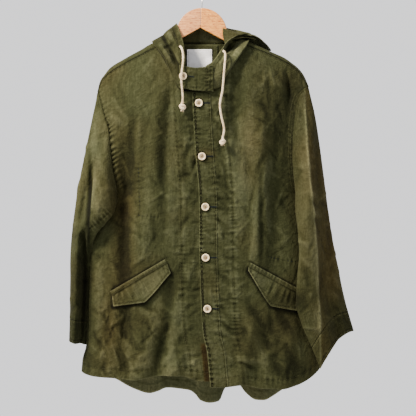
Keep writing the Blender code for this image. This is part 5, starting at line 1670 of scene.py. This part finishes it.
def twisted(name, route, slot, nodes, taper=0.0, thick=1.0):
    """Three strands twisted round a route in millimetres (x, y, drop), as one mesh."""
    place = run_along(route)
    length = place[-1]
    count = int(length / 0.9) + 2
    at = np.linspace(0, length, count)
    middle = to_world(sample(route, place, at))
    ahead = unit(np.gradient(middle, axis=0))
    beside_it = np.zeros_like(middle)
    side = unit(np.cross(ahead[0], (0.3, 1.0, 0.2)))
    for i, way in enumerate(ahead):
        side = unit(side - way * side.dot(way))
        beside_it[i] = side
    up = np.cross(ahead, beside_it)
    points, faces, tone = [], [], []
    ring = 10
    for strand in range(3):
        turn = 2 * math.pi * (at / CORD_LAY + strand / 3)
        frayed = ease((at - length + taper) / taper) if taper else np.zeros(count)
        swell, spread_out = 1 - 0.35 * frayed, 1 + 0.9 * frayed
        out = (np.cos(turn)[:, None] * beside_it + np.sin(turn)[:, None] * up)
        centre = middle + out * (thick * STRAND_TURN * spread_out * MM)[:, None]
        forward = unit(np.gradient(centre, axis=0))
        across_it = unit(np.cross(forward, out))
        for i in range(count):
            for k in range(ring):
                angle = 2 * math.pi * k / ring
                fluff = 1 + 0.05 * math.sin(7.1 * i + 3.3 * k)
                step = (out[i] * math.cos(angle) + across_it[i] * math.sin(angle))
                points.append(centre[i] + step * thick * STRAND_RADIUS * swell[i] * fluff * MM)
                # 1 on a strand's outer side, 0 where it turns in: painted shade between the strands
                tone.append((1 + math.cos(angle)) / 2)
        base = strand * count * ring
        for i in range(count - 1):
            for k in range(ring):
                a, b = base + i * ring + k, base + i * ring + (k + 1) % ring
                faces.append((a, b, b + ring, a + ring))
        faces.append([base + k for k in range(ring)][::-1])
        faces.append([base + (count - 1) * ring + k for k in range(ring)])
    mesh = bpy.data.meshes.new(name)
    mesh.from_pydata([tuple(p) for p in points], [], faces)
    edit = bmesh.new()
    edit.from_mesh(mesh)
    bmesh.ops.recalc_face_normals(edit, faces=edit.faces)
    edit.to_mesh(mesh)
    edit.free()
    layer = mesh.attributes.new("strand", "FLOAT", "POINT")
    layer.data.foreach_set("value", np.array(tone, np.float32))
    mesh.shade_smooth()
    return add_piece(name, mesh, CORD_COTTON, slot, *nodes), middle


# An overhand knot pulled tight, from where the cord comes in to its short tail: shares of
# the knot's half width, half depth and half height, with the height downwards.
OVERHAND = [
    (0.0, 0.0, -1.0), (-0.25, 0.1, -0.62), (-0.62, -0.3, -0.05), (-0.35, -0.72, 0.5),
    (0.32, -0.5, 0.62), (0.74, 0.1, 0.22), (0.45, 0.68, -0.35), (-0.25, 0.72, -0.45),
    (-0.74, 0.25, -0.12), (-0.5, -0.6, -0.42), (0.15, -0.82, -0.35), (0.6, -0.4, 0.0),
    (0.3, 0.2, 0.45), (0.0, 0.1, 0.78), (-0.06, 0.0, 1.0),
]


def make_cords():
    for word in ("right", "left"):
        route = through(CORD_ROUTES[word], 120)
        wide, deep, tall = KNOT_SIZE[word]
        x, y, drop = route[-1]
        flip = -1 if word == "left" else 1
        knot_line = np.array([
            (x + flip * a * wide / 2 * 0.7, y + b * deep / 2 * 0.8,
             drop + (c * (0.66 if abs(c) < 0.7 else 0.94) + 0.9) * tall / 2 + KNOT_GAP)
            for a, b, c in OVERHAND
        ])
        knot = twisted("cotton_knot_" + word, through(knot_line, 140), "cord_cotton",
                       ["knot_" + word], taper=6, thick=1.3)[0]
        cord, path = twisted("cotton_cord_" + word, route, "cord_cotton", ["drawcord_" + word])


# ---------------------------------------------------------------- the hanger

HANGER_JOINT = 0.9      # x of the line between the hanger's two halves


def hanger_outline():
    turn = np.radians(np.linspace(-HANGER_HEAD["half_turn"], HANGER_HEAD["half_turn"], 41))
    head_x = HANGER_HEAD["x"] + HANGER_HEAD["radius"] * np.sin(turn)
    head_drop = HANGER_HEAD["drop"] - HANGER_HEAD["radius"] * np.cos(turn)
    return [*zip(head_x, head_drop), *LEFT_ARM, HANGER_FORK, *RIGHT_ARM]


def make_hanger():
    """Two shaped boards that meet in the middle, their edges rounded, and a wire hook."""
    outline, half = hanger_outline(), HANGER_THICKNESS * MM / 2
    for word, keep in (("right", 1), ("left", -1)):
        mesh = bpy.data.meshes.new("half")
        mesh.from_pydata([(x * MM, half, -drop * MM) for x, drop in outline], [], [range(len(outline))])
        board = bpy.data.objects.new("half", mesh)
        bpy.context.scene.collection.objects.link(board)
        bpy.context.view_layer.objects.active = board
        board.select_set(True)
        bpy.ops.object.mode_set(mode="EDIT")
        bpy.ops.mesh.select_all(action="SELECT")
        bpy.ops.mesh.extrude_region_move(TRANSFORM_OT_translate={"value": (0, -2 * half, 0)})
        bpy.ops.mesh.select_all(action="SELECT")
        bpy.ops.mesh.normals_make_consistent(inside=False)
        bpy.ops.mesh.bisect(
            plane_co=((HANGER_JOINT - keep * 0.12) * MM, 0, 0), plane_no=(keep, 0, 0),
            clear_outer=True, use_fill=True,
        )
        bpy.ops.object.mode_set(mode="OBJECT")
        edge = board.modifiers.new("edges", "BEVEL")
        edge.width = HANGER_EDGE * MM
        edge.segments = 4
        edge.limit_method = "ANGLE"
        edge.angle_limit = math.radians(50)
        bpy.ops.object.modifier_apply(modifier="edges")
        settle(board)
        made = board.data.copy()
        bpy.data.objects.remove(board)
        add_piece("beech_half_" + word, made, BEECH[word], "hanger_wood", "hanger")
    centre = HOOK_RADIUS - HOOK_WIRE / 2
    bend = [(HOOK_RADIUS * math.cos(a), 0, centre - HOOK_RADIUS * math.sin(a))
            for a in np.radians(np.arange(-15, 206, 5))]
    route = through(np.array([*HOOK_STEM, *bend]), 160)
    line = bpy.data.curves.new("wire", "CURVE")
    line.dimensions = "3D"
    spline = line.splines.new("POLY")
    spline.points.add(len(route) - 1)
    for point, place in zip(spline.points, to_world(route)):
        point.co = (*place, 1)
    line.bevel_depth = HOOK_WIRE * MM / 2
    line.bevel_resolution = 4
    line.use_fill_caps = True
    wire = bpy.data.objects.new("wire", line)
    bpy.context.scene.collection.objects.link(wire)
    made = bpy.data.meshes.new_from_object(wire.evaluated_get(bpy.context.evaluated_depsgraph_get()))
    made.shade_smooth()
    bpy.data.objects.remove(wire)
    add_piece("wire_hook", made, STEEL, "hook_steel", "hook")


# ---------------------------------------------------------------- building it

make_cords()
make_hanger()
for side in (-1, 1):
    make_front(side)
make_placket()
back = make_back()
for side in (-1, 1):
    make_sleeve(side)
make_hood()
make_hood_fold()
tab = make_tab()
for side in (-1, 1):
    make_pocket(side)
make_inside_neck()

holes = sew_fronts()
tab_x, tab_drop = tab[0][..., 0] / MM, -tab[0][..., 2] / MM
row = int(np.abs(tab_drop[:, 20] - THROAT_BUTTON["drop"]).argmin())
keep = (tab_x[row] > THROAT_BUTTON["x"]) & (tab_x[row] < THROAT_BUTTON["x"] + 26)
for at in (row, row + 1):
    holes.append((*line_on(tab, at, keep), {"pitch": 1.1, "share": 1.25, "radius": 0.8}))
sew("buttonholes", holes, HOLE_THREAD)
make_buttons(tab[0])
row = np.arange(4, back[0].shape[1] - 4)
down = slice(30, -4)
sew("stitches_back", [line_on(back, -9, row), line_on(back, -8, row), line_on(back, down, 3),
                      line_on(back, down, -4)], SEAM_THREAD)

# The columns for how a piece was cut: width and length in metres, and its area where the cut is curved; no piece
# is given one here.
Cut = namedtuple("Cut", "width length area held rests_on")

# ---------------------------------------------------------------- floor and light

bpy.ops.mesh.primitive_circle_add(vertices=96, radius=2.2, fill_type="NGON", location=(0, 0, -1.35))
floor = bpy.context.object
floor.name = "floor"
bpy.ops.object.transform_apply(location=True)
floor.data.materials.append(speckled_material(
    "matt_floor_paint", 60, 3, [(0.3, "d2d2d0"), (0.7, "dcdcda")], Roughness=0.85,
))

world = bpy.data.worlds.new("pale_room")
bpy.context.scene.world = world
world.use_nodes = True
world.node_tree.nodes["Background"].inputs["Color"].default_value = srgb("dfdfe1")
world.node_tree.nodes["Background"].inputs["Strength"].default_value = 1.8


def softbox(name, place, size, power, colour):
    """A square light aimed at the jacket's chest."""
    lamp = bpy.data.lights.new(name, "AREA")
    lamp.size = size
    lamp.energy = power
    lamp.color = srgb(colour)[:3]
    holder = bpy.data.objects.new(name, lamp)
    holder.location = place
    aim = Vector((0, 0, -0.5)) - Vector(place)
    holder.rotation_euler = aim.to_track_quat("-Z", "Y").to_euler()
    bpy.context.scene.collection.objects.link(holder)


softbox("key", (-1.5, -1.1, 1.2), 0.5, 250, "fff6e8")
softbox("fill", (1.8, -2.0, 0.1), 1.6, 4, "eef2ff")
